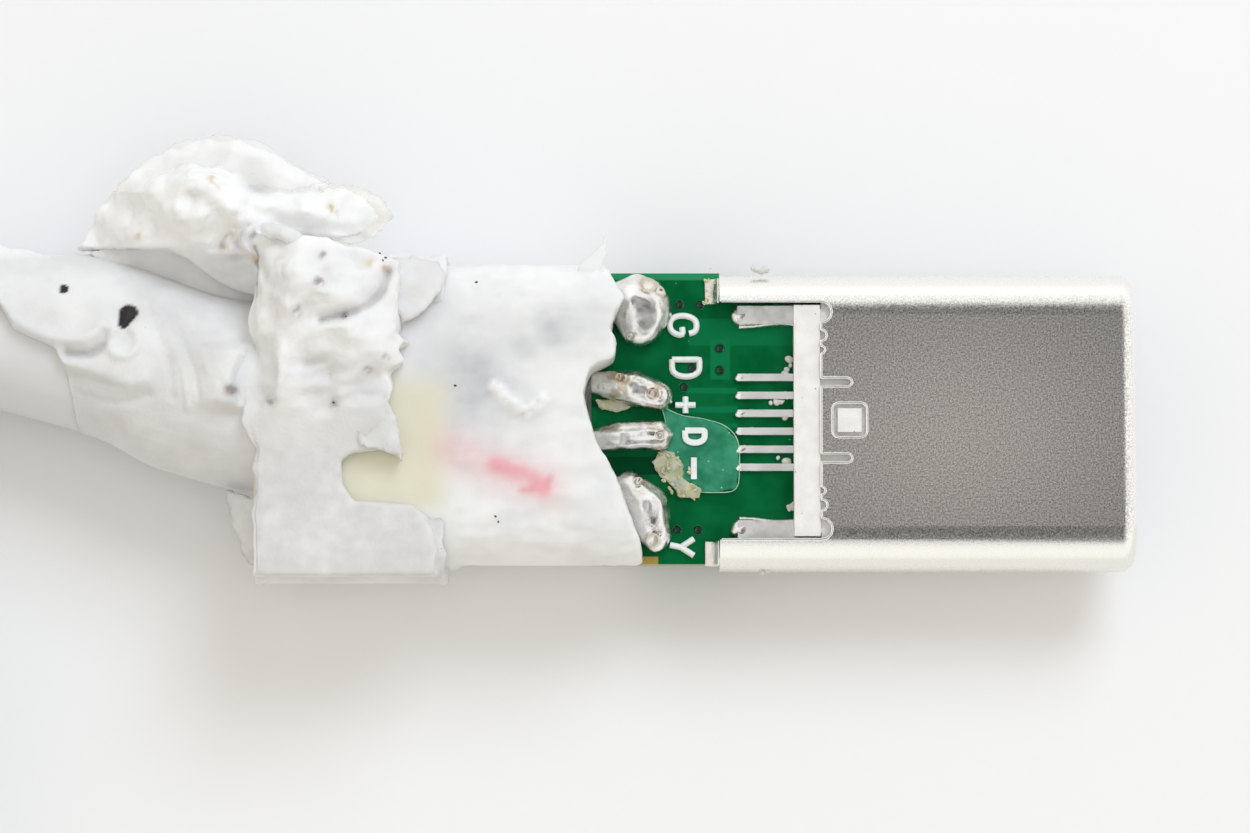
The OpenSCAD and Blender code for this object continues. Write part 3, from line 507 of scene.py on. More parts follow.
wire_materials = {
    name: finish(f"wire_{name}_skin", *tints, (0.35, 0.5), 0.8, (0.1, 0.006))
    for name, tints in WIRE_TINTS.items()
}
print("materials in all:", len(bpy.data.materials))

# %% [markdown]
# ## Geometry Nodes: a round body along a path, and copies on points
# The cord, the wires and the printed letters follow paths, so one node group makes them all.
# Via rings, beads of solder and specks are copies on points, which a second group makes.

# %%
# Geometry Nodes groups


def geometry_group(name, inputs):
    """A geometry group with one geometry in and out, and further named inputs."""
    group = bpy.data.node_groups.new(name, "GeometryNodeTree")
    group.interface.new_socket("Geometry", in_out="INPUT", socket_type="NodeSocketGeometry")
    ids = {}
    for label, kind, value in inputs:
        socket = group.interface.new_socket(label, in_out="INPUT", socket_type=kind)
        if value is not None:
            socket.default_value = value
        ids[label] = socket.identifier
    group.interface.new_socket("Geometry", in_out="OUTPUT", socket_type="NodeSocketGeometry")
    return group, ids, group.nodes.new("NodeGroupInput"), group.nodes.new("NodeGroupOutput")


def chain(group, *sockets):
    """Links sockets two by two."""
    for first, second in zip(sockets[::2], sockets[1::2]):
        group.links.new(first, second)


def make_sweep_group():
    group, ids, start, end = geometry_group("round_body_on_path", [
        ("Radius", "NodeSocketFloat", 0.001), ("Step", "NodeSocketFloat", 0.001),
        ("Sides", "NodeSocketInt", 16), ("Material", "NodeSocketMaterial", None)])
    even = add(group, "GeometryNodeResampleCurve", {"mode": "LENGTH"})
    ring = add(group, "GeometryNodeCurvePrimitiveCircle")
    body = add(group, "GeometryNodeCurveToMesh", Fill_Caps=True)
    smooth = add(group, "GeometryNodeSetShadeSmooth")
    real = add(group, "GeometryNodeRealizeInstances")
    coat = add(group, "GeometryNodeSetMaterial")
    chain(group, start.outputs["Geometry"], even.inputs["Curve"],
          start.outputs["Step"], even.inputs["Length"],
          start.outputs["Sides"], ring.inputs["Resolution"],
          start.outputs["Radius"], ring.inputs["Radius"],
          even.outputs["Curve"], body.inputs["Curve"],
          ring.outputs["Curve"], body.inputs["Profile Curve"],
          body.outputs["Mesh"], smooth.inputs["Geometry"],
          smooth.outputs["Geometry"], real.inputs["Geometry"],
          real.outputs["Geometry"], coat.inputs["Geometry"],
          start.outputs["Material"], coat.inputs["Material"],
          coat.outputs["Geometry"], end.inputs["Geometry"])
    return group, ids


def make_copies_group():
    group, ids, start, end = geometry_group("copies_on_points", [
        ("Copy", "NodeSocketObject", None), ("Smallest", "NodeSocketFloat", 1.0),
        ("Largest", "NodeSocketFloat", 1.0), ("Turn", "NodeSocketFloat", 0.0),
        ("Seed", "NodeSocketInt", 1), ("Material", "NodeSocketMaterial", None)])
    points = add(group, "GeometryNodeMeshToPoints")
    source = add(group, "GeometryNodeObjectInfo")
    size = add(group, "FunctionNodeRandomValue", {"data_type": "FLOAT"})
    turn = add(group, "FunctionNodeRandomValue", {"data_type": "FLOAT"})
    spin = add(group, "ShaderNodeCombineXYZ")
    copies = add(group, "GeometryNodeInstanceOnPoints")
    real = add(group, "GeometryNodeRealizeInstances")
    coat = add(group, "GeometryNodeSetMaterial")
    sizes = [s for s in size.inputs if s.type == "VALUE" and s.name in ("Min", "Max")]
    turns = [s for s in turn.inputs if s.type == "VALUE" and s.name in ("Min", "Max")]
    turned = next(s for s in turn.outputs if s.type == "VALUE")
    sized = next(s for s in size.outputs if s.type == "VALUE")
    turns[0].default_value = 0.0
    chain(group, start.outputs["Geometry"], points.inputs["Mesh"],
          points.outputs["Points"], copies.inputs["Points"],
          start.outputs["Copy"], source.inputs["Object"],
          source.outputs["Geometry"], copies.inputs["Instance"],
          start.outputs["Smallest"], sizes[0], start.outputs["Largest"], sizes[1],
          start.outputs["Seed"], size.inputs["Seed"], start.outputs["Seed"], turn.inputs["Seed"],
          start.outputs["Turn"], turns[1], turned, spin.inputs["Z"],
          spin.outputs["Vector"], copies.inputs["Rotation"], sized, copies.inputs["Scale"],
          copies.outputs["Instances"], real.inputs["Geometry"],
          real.outputs["Geometry"], coat.inputs["Geometry"],
          start.outputs["Material"], coat.inputs["Material"],
          coat.outputs["Geometry"], end.inputs["Geometry"])
    return group, ids


SWEEP, SWEEP_IDS = make_sweep_group()
COPIES, COPIES_IDS = make_copies_group()


def run_group(target, group, ids, values):
    """Puts the group on an object as a modifier with these named values."""
    modifier = target.modifiers.new(group.name, "NODES")
    modifier.node_group = group
    for name, value in values.items():
        modifier[ids[name]] = value


def swept(paths, radius, step, sides, material):
    """A mesh of round bodies along paths, which are lists of points in millimetres."""
    curve = bpy.data.curves.new("path", "CURVE")
    curve.dimensions = "3D"
    for path in paths:
        spline = curve.splines.new("POLY")
        spline.points.add(len(path) - 1)
        for point, place in zip(spline.points, path):
            point.co = (*(np.asarray(place) * MM), 1)
    values = {"Radius": radius * MM, "Step": step * MM, "Sides": sides, "Material": material}
    mesh = baked(curve, lambda maker: run_group(maker, SWEEP, SWEEP_IDS, values))
    bpy.data.curves.remove(curve)
    return mesh


def copied(points, shape, material, smallest=1.0, largest=1.0, turn=0.0, seed=1):
    """A mesh of copies of a shape on points, which are in millimetres."""
    base = bpy.data.meshes.new("points")
    base.from_pydata([tuple(np.asarray(p) * MM) for p in points], [], [])
    source = bpy.data.objects.new("copy_source", shape)
    bpy.context.scene.collection.objects.link(source)
    values = {"Copy": source, "Smallest": smallest, "Largest": largest, "Turn": turn,
              "Seed": seed, "Material": material}
    mesh = baked(base, lambda maker: run_group(maker, COPIES, COPIES_IDS, values))
    bpy.data.objects.remove(source)
    shade_smooth(mesh)
    return mesh


# %% [markdown]
# ## The cord
# One cord runs from inside the torn moulding to the far plug. It repeats the CAD's route: a
# straight stretch in the strain relief, then four runs a side, two wide and two high, then a bend
# to the plug that lies inside the loop. It changes layer where nothing lies in its way.

# %%
# Cord route in millimetres
CORD_D = 4.2
FOLD_IN, FOLD_OUT = 12.6, 16.8
LEFT, RIGHT, MIDDLE = -107.5, -31.5, -12.7
LOW_Z, HIGH_Z = 2.7, 6.9
LEAD = [
    (0.97, -0.29, 2.8), (-2.8, 0.72, 2.8), (-10.33, 2.74, 2.8), (-13.0, 3.35, 2.75), (-15.0, 3.7, 2.7),
    (-18.0, 4.05, 2.65), (-22.0, 4.1, 2.65), (-26.0, 4.1, 2.7), (-31.5, 4.1, 2.7),
]
TAIL = [
    (-106.0, -25.3, 2.65), (-101.5, -24.9, 2.7), (-97.0, -23.2, 2.9), (-92.5, -20.5, 3.1),
    (-88.5, -17.4, 3.4), (-84.5, -14.6, 3.6), (-80.5, -13.0, 3.8), (-76.5, -12.7, 3.8), (-72.0, -12.7, 3.8),
    (-66.0, -12.7, 3.8),
]


def eased(t, start, end):
    t = min(1.0, max(0.0, (t - start) / (end - start)))
    return t * t * (3 - 2 * t)


def folded_turn(turn):
    """One turn from the top right, counter-clockwise: top run, left fold, bottom run, right fold."""
    top = {0: (FOLD_OUT, LOW_Z), 1: (FOLD_OUT, HIGH_Z), 2: (FOLD_IN, HIGH_Z), 3: (FOLD_IN, LOW_Z)}[turn]
    radius, z = top
    points = [(RIGHT + (LEFT - RIGHT) * t / 20, MIDDLE + radius, z) for t in range(21)]
    for k in range(1, 24):
        angle = math.radians(90 + 180 * k / 24)
        points.append((LEFT + radius * math.cos(angle), MIDDLE + radius * math.sin(angle), z))
    if turn == 3:
        return points
    for k in range(39):
        t = k / 38
        x = LEFT + (RIGHT - LEFT) * t
        r = FOLD_OUT + (FOLD_IN - FOLD_OUT) * eased(t, 0.7, 0.99) if turn == 1 else radius
        height = HIGH_Z + (LOW_Z - HIGH_Z) * eased(t, 0.22, 0.66) if turn == 2 else z
        points.append((x, MIDDLE - r, height))
    radius, z = MIDDLE - points[-1][1], points[-1][2]
    for k in range(1, 24):
        t = k / 24
        angle = math.radians(-90 + 180 * t)
        height = z + (HIGH_Z - z) * eased(t, 0.0, 1.0) if turn == 0 else z
        points.append((RIGHT + radius * math.cos(angle), MIDDLE + radius * math.sin(angle), height))
    return points


route = smooth_path(LEAD, 1.0)[:-1]
for turn in range(4):
    route += [np.array(p, float) for p in folded_turn(turn)]
route += smooth_path([(-107.3, -25.3, 2.7), *TAIL], 1.0)

cord_mesh = swept([route], CORD_D / 2, 0.9, 20, jacket)
cord = add_piece("cord", cord_mesh, jacket, ["cable_lead", "cable_hank", "cable_tail"])

# %% [markdown]
# ## Refined forms
# A torn or soldered form starts from the CAD's solid, so that it lies where the solid is. It is
# remeshed finely, smoothed, and then shaped by a function of the place of each point.

# %%
# Refine a CAD solid into a detailed mesh


def refined(node, voxel, smoothing, shape):
    """The CAD node's mesh in fine voxels, smoothed and then moved by shape(points, normals, mesh)."""

    def setup(maker):
        remesh = maker.modifiers.new("remesh", "REMESH")
        remesh.mode = "VOXEL"
        remesh.voxel_size = voxel * MM
        relax = maker.modifiers.new("relax", "SMOOTH")
        relax.factor = 0.5
        relax.iterations = smoothing

    mesh = baked(nodes[node].data.copy(), setup)
    shade_smooth(mesh)
    for attribute in [a for a in mesh.attributes if a.name in ("sharp_face", "custom_normal")]:
        mesh.attributes.remove(attribute)
    set_positions(mesh, shape(positions(mesh), normals(mesh), mesh))
    return mesh


# %% [markdown]
# ## The outer moulding
# White plastic that was torn by hand: folds and crests on the lump and the flap, curled lips and a
# pit in the strain relief, and smooth skin on the sleeve's lower part. Lines and spots say where,
# in millimetres; yellow and dark stains, painted shade in the folds and on the sleeve's lower block,
# and painted light on the flap and the lump are stored for the material.

# %%
# Shape of the outer moulding
EAR = [(-5.99 + 0.42 * math.cos(a), 2.04 + 0.42 * math.sin(a)) for a in np.linspace(0.6, 6.6, 14)]
LIPS = [
    ([(-9.6, 3.45), (-9.17, 2.86), (-8.56, 2.4), (-7.85, 2.14), (-7.04, 2.12), (-6.6, 2.4)], 0.17, 0.2),
    ([(-7.5, 1.75), (-6.9, 1.72), (-6.5, 2.0), (-6.5, 2.3)], 0.15, -0.26),
    ([(-7.4, 1.1), (-6.9, 0.9), (-6.2, 0.78), (-5.4, 1.0)], 0.2, 0.13),
    ([(-7.4, 0.72), (-6.9, 0.5), (-6.2, 0.38), (-5.3, 0.6)], 0.16, -0.12),
    (EAR, 0.11, 0.15),
    ([(-5.99, 2.04), (-5.98, 2.06)], 0.2, -0.1),
    ([(-5.3, 3.1), (-5.0, 2.2), (-4.7, 1.4), (-4.6, 0.5)], 0.08, -0.08),
    ([(-5.0, 3.0), (-4.7, 2.2), (-4.35, 1.2), (-4.2, 0.2)], 0.07, 0.07),
    ([(-4.6, 2.9), (-4.35, 2.1), (-4.0, 1.2), (-3.9, 0.5)], 0.07, -0.07),
    ([(-4.2, 2.8), (-3.9, 1.9), (-3.6, 1.1)], 0.08, 0.05),
    ([(-3.3, 0.9), (-3.0, 0.3), (-2.9, -0.4)], 0.09, -0.06),
]
LUMP_FOLDS = [
    ([(1.25, 3.9), (1.1, 3.4), (0.75, 2.95), (0.3, 2.7), (-0.5, 2.5)], 0.13, -0.34),
    ([(0.9, 3.9), (0.6, 3.4), (0.1, 3.05), (-0.6, 2.9)], 0.32, 0.2),
    ([(-0.35, 3.75), (-0.15, 3.55)], 0.26, -0.16),
    ([(-2.3, 4.3), (-2.0, 3.6), (-1.3, 3.1)], 0.2, -0.12),
    ([(-2.3, 2.6), (-1.9, 1.9), (-1.5, 1.3), (-1.2, 0.5)], 0.35, 0.09),
    ([(-1.1, 2.1), (-0.3, 2.3), (0.5, 2.2)], 0.25, 0.1),
    ([(-2.0, 0.8), (-0.9, 0.7), (0.2, 0.9), (1.1, 1.4)], 0.2, 0.1),
    ([(-2.2, 1.6), (-1.3, 1.3), (-0.5, 1.4)], 0.16, -0.1),
    ([(-0.1, 0.3), (0.6, 0.6), (1.2, 0.5)], 0.14, -0.08),
]
FLAP_FOLDS = [
    ([(-6.6, 4.9), (-5.2, 5.6), (-4.0, 5.5), (-3.2, 4.9)], 0.3, 0.14),
    ([(-6.0, 5.6), (-4.6, 6.2), (-3.4, 5.9), (-2.8, 5.1)], 0.25, 0.13),
    ([(-5.0, 6.4), (-3.8, 6.6), (-2.8, 6.2), (-2.3, 5.6)], 0.2, 0.1),
    ([(-3.6, 4.6), (-3.2, 5.0), (-2.9, 5.4)], 0.08, -0.16),
    ([(-3.3, 4.3), (-2.95, 4.8), (-2.6, 5.2)], 0.07, -0.2),
    ([(-2.95, 4.0), (-2.7, 4.5), (-2.4, 5.0)], 0.08, -0.24),
    ([(-2.4, 5.85), (-1.2, 5.55), (0.2, 5.45)], 0.2, 0.18),
    ([(-2.5, 6.9), (-2.45, 6.5)], 0.45, -0.4),
    ([(-2.6, 5.7), (-1.2, 5.25), (0.2, 5.15)], 0.14, -0.12),
]
SEAM = [(-2.45, -1.9), (-2.4, -3.0), (-2.3, -4.2)]
STAINS = [(-3.45, 6.38, 0.2), (-4.05, 6.05, 0.1), (-0.3, 5.7, 0.2), (-5.66, 5.04, 0.13), (-3.0, 5.0, 0.14),
          (-2.75, 4.3, 0.12), (-3.3, 4.6, 0.1), (0.8, 4.1, 0.15), (1.2, 4.0, 0.1), (1.2, -0.6, 0.07)]
SMUDGES = [(-0.48, 4.27, 0.1), (-0.52, 3.46, 0.13), (-1.14, 2.71, 0.12), (0.13, 2.59, 0.08),
           (-3.07, 0.64, 0.15), (-1.89, 0.33, 0.13), (-0.15, 0.26, 0.12), (0.75, 1.16, 0.1),
           (1.24, 1.5, 0.09), (-2.73, 4.2, 0.1)]
TEARDROP = [(-6.0, 2.52), (-5.88, 2.88)]
STREAKS = [
    ([(-3.4, 4.6), (-2.9, 5.15)], 0.1, 0.42),
    ([(-3.15, 4.35), (-2.65, 5.0)], 0.1, 0.42),
    ([(-2.5, 4.9), (-2.1, 5.05)], 0.1, 0.42),
    ([(-2.42, 4.6), (-2.62, 4.25), (-2.72, 3.8), (-2.6, 3.3)], 0.09, 0.7),
]
MARKS = ("stain", "painted_shade", "dirt", "smudge", "painted_light")
SLEEVE_BACK = -2.8
RELIEF_Y, RELIEF_Z, RELIEF_RADIUS = 0.72, 2.8, 2.72
RELIEF_SIDE = np.array([0.259, 0.966])


def unmarked(mesh):
    """Stores the white moulding's marks, painted shade and painted light as none on a mesh that has none.
    """
    for mark in MARKS:
        paint(mesh, mark, np.zeros(len(mesh.vertices)))


def fit_strain_relief(moved, x, y, up, flap):
    """Narrows the strain relief on the south, swells it on the north, and blends the lump into it."""
    across = (moved[:, 0] - SLEEVE_BACK) * RELIEF_SIDE[0] + (moved[:, 1] - RELIEF_Y) * RELIEF_SIDE[1]
    radius = np.hypot(across, moved[:, 2] - RELIEF_Z)
    thin = fade(-x, 5.2, 7.3) * fade(-across, 0.5, 0.9) * (radius > 2.15)
    shrink = (thin * (radius - 2.13) / np.maximum(radius, 1))[:, None]
    outwards = np.column_stack([across * RELIEF_SIDE[0], across * RELIEF_SIDE[1], moved[:, 2] - RELIEF_Z])
    moved -= shrink * outwards
    swell = 0.42 * np.exp(-(((x + 6.7) / 2.0) ** 2)) * fade(across, 1.5, 2.6) * (1 - flap) * (x < -2.9)
    moved[:, :2] += swell[:, None] * RELIEF_SIDE
    blended = fade(y, 0.0, 0.4) * fade(-y, -2.2, -1.7)
    near = (x > -3.7) & (x < -3.2) & (up > 0.7) & (y > 0.2) & (y < 1.8)
    found_radius = float(np.median(np.hypot(across, moved[:, 2] - RELIEF_Z)[near]))
    print(f"the strain relief's radius beside the sleeve: {found_radius:.2f} mm")
    top = RELIEF_Z + np.sqrt(np.maximum(0.0, RELIEF_RADIUS**2 - across**2))
    growth = max(0.0, RELIEF_RADIUS - found_radius)
    moved[:, 2] += growth * blended * fade(x, -4.4, -3.0) * (x < SLEEVE_BACK + 0.01) * up
    rise = np.maximum(0.0, moved[:, 2] - top) * (x > -3.0)
    moved[:, 2] -= blended * fade(-x, 1.5, 2.8) * rise


def outer_shape(points, outward, mesh):
    """Folds, tears and marks of the white moulding, and its painted shade and painted light."""
    x, y, z = points.T
    up = np.clip(outward[:, 2], 0, 1)
    relief = fade(-x, 2.6, 3.2) * fade(-y + 0.35 * (-x - 2.8), -4.4, -4.0)
    flap = fade(y, 4.3, 4.8) * fade(-x, -2.0, -1.5)
    lump = fade(y, -0.6, 0.6) * fade(x, -3.0, -2.4) * (1 - flap)
    move = np.zeros(len(x))
    for folds, where in ((LIPS, relief * (1 - flap)), (LUMP_FOLDS, lump), (FLAP_FOLDS, flap)):
        for line, width, height in folds:
            move += height * stamp(points, smooth_path(line, 0.3), width) * where
    move += 0.07 * stamp(points, SEAM, 0.1)
    along = points @ np.array([[0.87, 0.5, 0], [-0.5, 0.87, 0], [0, 0, 0.6]]).T
    crumple = ridges(points * (1, 1, 0.4), 2.1, 4, 3.1)
    pleats = ridges(along * (0.45, 1.2, 1), 0.75, 3, 6.3)
    fine = fractal(points, 0.32, 3, 7.7)
    move += 0.035 * (crumple - 0.5) * np.clip(lump, 0, 1) + 0.015 * (pleats - 0.55) * flap
    move += 0.014 * fine * (0.35 + lump) + 0.03 * fractal(points, 1.4, 2, 1.3) * (1 - lump)
    # Painted shade: darker where folds sink, in the lump's crumpled valleys and over the sleeve's lower
    # block.
    painted_shade = 0.75 * fade(-move, 0.04, 0.3) + 0.2 * lump * fade(0.5 - crumple, 0.0, 0.5)
    block = fade(-y, 0.4, 1.2) * fade(x, -2.8, -2.4)
    painted_shade = painted_shade * (1 - 0.8 * flap) * (1 - 0.35 * lump) + 0.36 * block * (0.7 + 0.5 * fine)
    drop = (0.15 + 0.14 * fade(y, 2.5, 2.85)) * (1 + 0.12 * fractal(points, 0.5, 2, 5.5))
    hole = np.exp(-((line_distance(points, TEARDROP) / drop) ** 2))
    pit = spot(points, -7.7, 3.55, 0.15)
    stain = np.zeros(len(x))
    for sx, sy, radius in STAINS:
        stain = np.maximum(stain, spot(points, sx, sy, radius) * (0.45 + 1.5 * np.clip(fine, -0.5, 1)))
    smudge = np.zeros(len(x))
    uneven = 0.8 + 1.2 * fractal(points, 0.16, 2, 1.9)
    for sx, sy, radius in SMUDGES:
        smudge = np.maximum(smudge, 0.95 * spot(points, sx, sy, radius) * uneven)
    uneven = 0.9 + fractal(points, 0.2, 2, 8.8)
    for line, width, amount in STREAKS:
        smudge = np.maximum(smudge, amount * stamp(points, line, width) * uneven)
    paint(mesh, "smudge", np.clip(smudge, 0, 0.75) * up)
    paint(mesh, "stain", np.clip(stain, 0, 1) * fade(up, 0.0, 0.3))
    # Painted shade: stored for the material, fading out on faces that do not look up.
    paint(mesh, "painted_shade", np.clip(painted_shade, 0, 0.75) * fade(up, 0.1, 0.5))
    # Painted light: the flap and the lump are painted lighter, less where painted shade lies.
    paint(mesh, "painted_light", np.clip(0.9 * flap + 0.5 * lump, 0, 0.9) * (1 - np.clip(4 * painted_shade, 0, 1)))
    paint(mesh, "dirt", np.maximum(fade(hole, 0.4, 0.55), fade(pit, 0.4, 0.55)))
    moved = points.copy()
    moved[:, 2] += (move - 0.34 * hole - 0.2 * pit) * up
    front = fade(x, 2.2, 2.6)
    side = (0.09 * fractal(points, 0.5, 3, 4.2) * np.clip(lump + flap + front, 0, 1))[:, None]
    moved[:, :2] += outward[:, :2] * side
    edge = np.exp(-(((x - SLEEVE_BACK) / 0.4) ** 2)) * fade(z, 2.0, 3.5) * (1 - flap)
    jagged = 0.16 * fractal(points * (0, 1, 0.4), 0.9, 3, 2.9)
    moved[:, 0] += edge * (jagged + 0.34 * fade(y, 0.9, 1.8) + 0.08 * fade(y, 2.4, 3.4))
    moved[:, 2] -= edge * 0.12 * fade(y, -2.5, -1.0)
    fit_strain_relief(moved, x, y, up, flap)
    moved[:, 0] += 0.42 * fade(-y, 0.2, 1.0) * np.exp(-(((x + 2.87) / 0.45) ** 2))
    south = fade(-y, 3.4, 3.95) * fade(x, -3.0, -2.6)
    moved[:, 1] += 0.36 * south * np.clip(1 - moved[:, 2] / 5.2, 0, 1)
    moved[:, 2] = np.maximum(moved[:, 2], 0.0)
    return moved


outer = add_piece("torn_outer_moulding", refined("outer_mould", 0.075, 2, outer_shape), white,
                  ["outer_mould"])

# %% [markdown]
# ## The inner moulding
# Milky plastic, thin enough that the wires below it show as a grey and a pink haze.

# %%
# Shape of the inner moulding
GREY_HAZE = [(3.5, 0.9, 1.25, 0.6), (5.8, 2.5, 0.7, 0.5), (5.0, 1.9, 0.5, 0.4), (2.2, 2.8, 0.6, 0.25)]


def inner_shape(points, outward, mesh):
    """Smeared skin, a torn front edge and the hazes of the milky moulding."""
    x, y, z = points.T
    up = fade(outward[:, 2], 0.0, 0.5)
    wander = 1 + 0.45 * fractal(points, 0.7, 3, 5.0)
    grey = np.zeros(len(x))
    for gx, gy, radius, amount in GREY_HAZE:
        grey = np.maximum(grey, amount * spot(points, gx, gy, radius))
    pink = 0.35 * stamp(points, [(3.0, -0.9), (4.4, -1.5), (5.6, -1.9)], 0.6)
    pink += 0.55 * stamp(points, [(4.2, -1.35), (5.0, -1.6), (5.5, -2.0)], 0.24) * wander
    pink += 0.5 * stamp(points, [(4.9, -2.05), (5.5, -2.0), (5.7, -1.7)], 0.09) * wander
    cream = fade(-x, -3.4, -2.3) * fade(-y, -1.6, -0.4) * fade(y, -2.9, -2.2) * (1 + 0.3 * wander)
    flake = stamp(points, [(4.2, 0.8), (4.6, 0.35), (5.1, 0.1), (5.5, 0.45)], 0.17)
    paint(mesh, "grey", np.clip(grey * wander, 0, 0.8) * up * (1 - 0.8 * flake))
    paint(mesh, "pink", np.clip(pink, 0, 0.85) * up)
    paint(mesh, "cream", np.clip(0.65 * cream, 0, 0.95) * up)
    paint(mesh, "chalk", np.clip(flake * (0.9 + fractal(points, 0.2, 2, 3.3)), 0, 1) * up)
    smear = fractal(points * (0.6, 1.4, 1), 0.9, 3, 2.2)
    move = 0.07 * smear + 0.03 * fractal(points, 0.3, 3, 9.1)
    move += 0.2 * flake * (1 + fractal(points, 0.2, 2, 3.3))
    move += 0.1 * stamp(points, [(2.8, -1.0), (4.0, -1.2), (5.6, -2.1), (6.6, -2.2)], 0.3)
    moved = points + outward * (move * (0.35 + 0.65 * up))[:, None]
    moved[:, 2] -= 0.4 * fade(x - 0.12 * np.abs(y), 6.2, 7.8) * fade(z, 3.3, 4.6)
    moved[:, 1] += fade(-y, 3.0, 3.9) * (0.04 + 0.28 * np.clip(1 - z / 4.5, 0, 1))
    free = fade(x, 2.9, 3.3)
    return points + (moved - points) * (0.2 + 0.8 * free)[:, None]


inner = add_piece("milky_inner_moulding", refined("inner_mould", 0.1, 2, inner_shape), milky,
                  ["inner_mould"])

# %% [markdown]
# ## Films and flakes
# Thin sheets that were pulled off: each is a filled outline with a ragged edge, lifted by a
# height for every place and given a thickness.

# %%
# Sheets from outlines


def sheet(outline, height, thickness, ragged=0.05, cell=0.14, seed=1.0):
    """A thin solid sheet over an outline in millimetres. height(x, y) is its middle's height."""
    edge = []
    for a, b in zip(outline, outline[1:] + outline[:1]):
        count = max(1, round(math.dist(a, b) / (0.7 * cell)))
        for k in range(count):
            x, y = (a[i] + (b[i] - a[i]) * k / count for i in (0, 1))
            swing = ragged * noise.fractal(Vector((x, y, seed)) / 0.22, 1.0, 2.0, 3)
            drift = ragged * noise.fractal(Vector((y, x, seed + 5)) / 0.22, 1.0, 2.0, 3)
            edge.append(Vector((x + swing, y + drift)))
    xs, ys = [p.x for p in edge], [p.y for p in edge]
    inner_points = [
        Vector((min(xs) + (i + 0.5 * (j % 2)) * cell, min(ys) + j * cell * 0.87))
        for j in range(1, int((max(ys) - min(ys)) / (cell * 0.87)))
        for i in range(1, int((max(xs) - min(xs)) / cell))
    ]
    rim = np.array([tuple(p) for p in edge])
    inner_points = [
        p for p in inner_points
        if np.min(np.hypot(rim[:, 0] - p.x, rim[:, 1] - p.y)) > 0.5 * cell
    ]
    border = [(i, (i + 1) % len(edge)) for i in range(len(edge))]
    whole = [list(range(len(edge)))]
    points, _, faces, *_ = geometry.delaunay_2d_cdt(edge + inner_points, border, whole, 1, 1e-6)
    mesh = bpy.data.meshes.new("sheet")
    mesh.from_pydata([(p.x * MM, p.y * MM, height(p.x, p.y) * MM) for p in points], [], faces)

    def setup(maker):
        solid = maker.modifiers.new("thickness", "SOLIDIFY")
        solid.thickness = thickness * MM
        solid.offset = 0

    mesh = baked(mesh, setup)
    shade_smooth(mesh)
    return mesh


def ripple(x, y, scale, seed):
    return noise.fractal(Vector((x, y, seed)) / scale, 1.0, 2.0, 3)


FILM_TOP = [(-6.3, 6.2), (-5.6, 7.0), (-4.6, 7.6), (-3.4, 7.85), (-2.2, 7.6), (-1.2, 6.9), (-0.4, 6.5),
            (-1.4, 6.2), (-2.8, 6.4), (-4.2, 6.5), (-5.4, 6.1)]
FILM_SIDE = [(-0.7, 6.4), (0.2, 6.5), (1.0, 6.2), (1.3, 5.7), (0.8, 5.1), (0.2, 4.85), (-0.8, 5.0),
             (-0.3, 5.6)]
HALF_ROUND = [(1.4, 4.3), (2.0, 4.35), (2.6, 4.2), (2.85, 3.9), (2.7, 3.4), (2.2, 2.8), (1.7, 2.5),
              (1.45, 2.9)]
SPIKE = [(6.4, 4.1), (6.7, 4.5), (7.0, 4.75), (7.2, 5.1), (7.25, 4.6), (7.1, 4.2), (7.3, 3.8), (6.8, 3.6)]
WEDGE = [(-3.29, -1.9), (-2.9, -2.0), (-2.4, -2.2), (-2.35, -4.0), (-2.6, -4.0), (-2.76, -3.6),
         (-3.04, -2.9), (-3.2, -2.3)]
WEB = [(-7.1, 4.72), (-5.66, 5.11), (-4.42, 4.83), (-3.59, 4.23), (-2.6, 3.8), (-2.45, 3.2), (-3.26, 3.3),
       (-4.2, 3.62), (-5.11, 3.9), (-6.02, 4.18), (-6.96, 4.44)]
TOOTH = [(7.49, 2.13), (7.35, 1.66), (6.82, 1.35), (6.6, 1.7), (6.9, 2.3), (7.15, 2.45)]
TIP = [(1.2, 0.5), (1.5, -0.1), (1.62, -0.7), (1.68, -1.25), (1.2, -1.0), (0.5, -0.85), (0.4, -0.1)]
films = [
    ("film_over_flap", FILM_TOP, lambda x, y: 5.2 - 0.35 * (y - 6.2) + 0.25 * ripple(x, y, 0.9, 2),
     0.05, film, "inner_plastic"),
    ("film_beside_flap", FILM_SIDE, lambda x, y: 4.6 - 0.5 * (x + 0.4) + 0.25 * ripple(x, y, 0.7, 4),
     0.05, cream_film, "inner_plastic"),
    ("half_round_flap", HALF_ROUND, lambda x, y: 5.5 - 0.3 * max(0, y - 3.6) + 0.06 * ripple(x, y, 0.5, 6),
     0.12, white, "white_plastic"),
    ("film_spike", SPIKE, lambda x, y: 4.6 - 0.5 * max(0, y - 3.9) + 0.1 * ripple(x, y, 0.5, 8),
     0.05, film, "inner_plastic"),
    ("wedge_sliver", WEDGE, lambda x, y: 3.2 + 0.5 * (x + 3.4) + 0.1 * ripple(x, y, 0.5, 10),
     0.25, white, "white_plastic"),
    ("torn_web", WEB, lambda x, y: 3.3 + 0.25 * (y - 4.0) + 0.15 * ripple(x, y, 0.9, 14),
     0.2, white, "white_plastic"),
    ("edge_tooth", TOOTH, lambda x, y: 4.25 - 0.5 * (x - 6.8) + 0.08 * ripple(x, y, 0.4, 16),
     0.12, milky, "inner_plastic"),
    ("pointed_tip", TIP, lambda x, y: 5.75 + 0.12 * (y + 1) + 0.1 * ripple(x, y, 0.5, 12),
     0.16, white, "white_plastic"),
]
for name, outline, height, thickness, material, slot in films:
    mesh = sheet(outline, height, thickness, 0.06, 0.12, len(name))
    if material is white:
        unmarked(mesh)
    add_piece(name, mesh, material)

# %%
# Dark specks on the mouldings


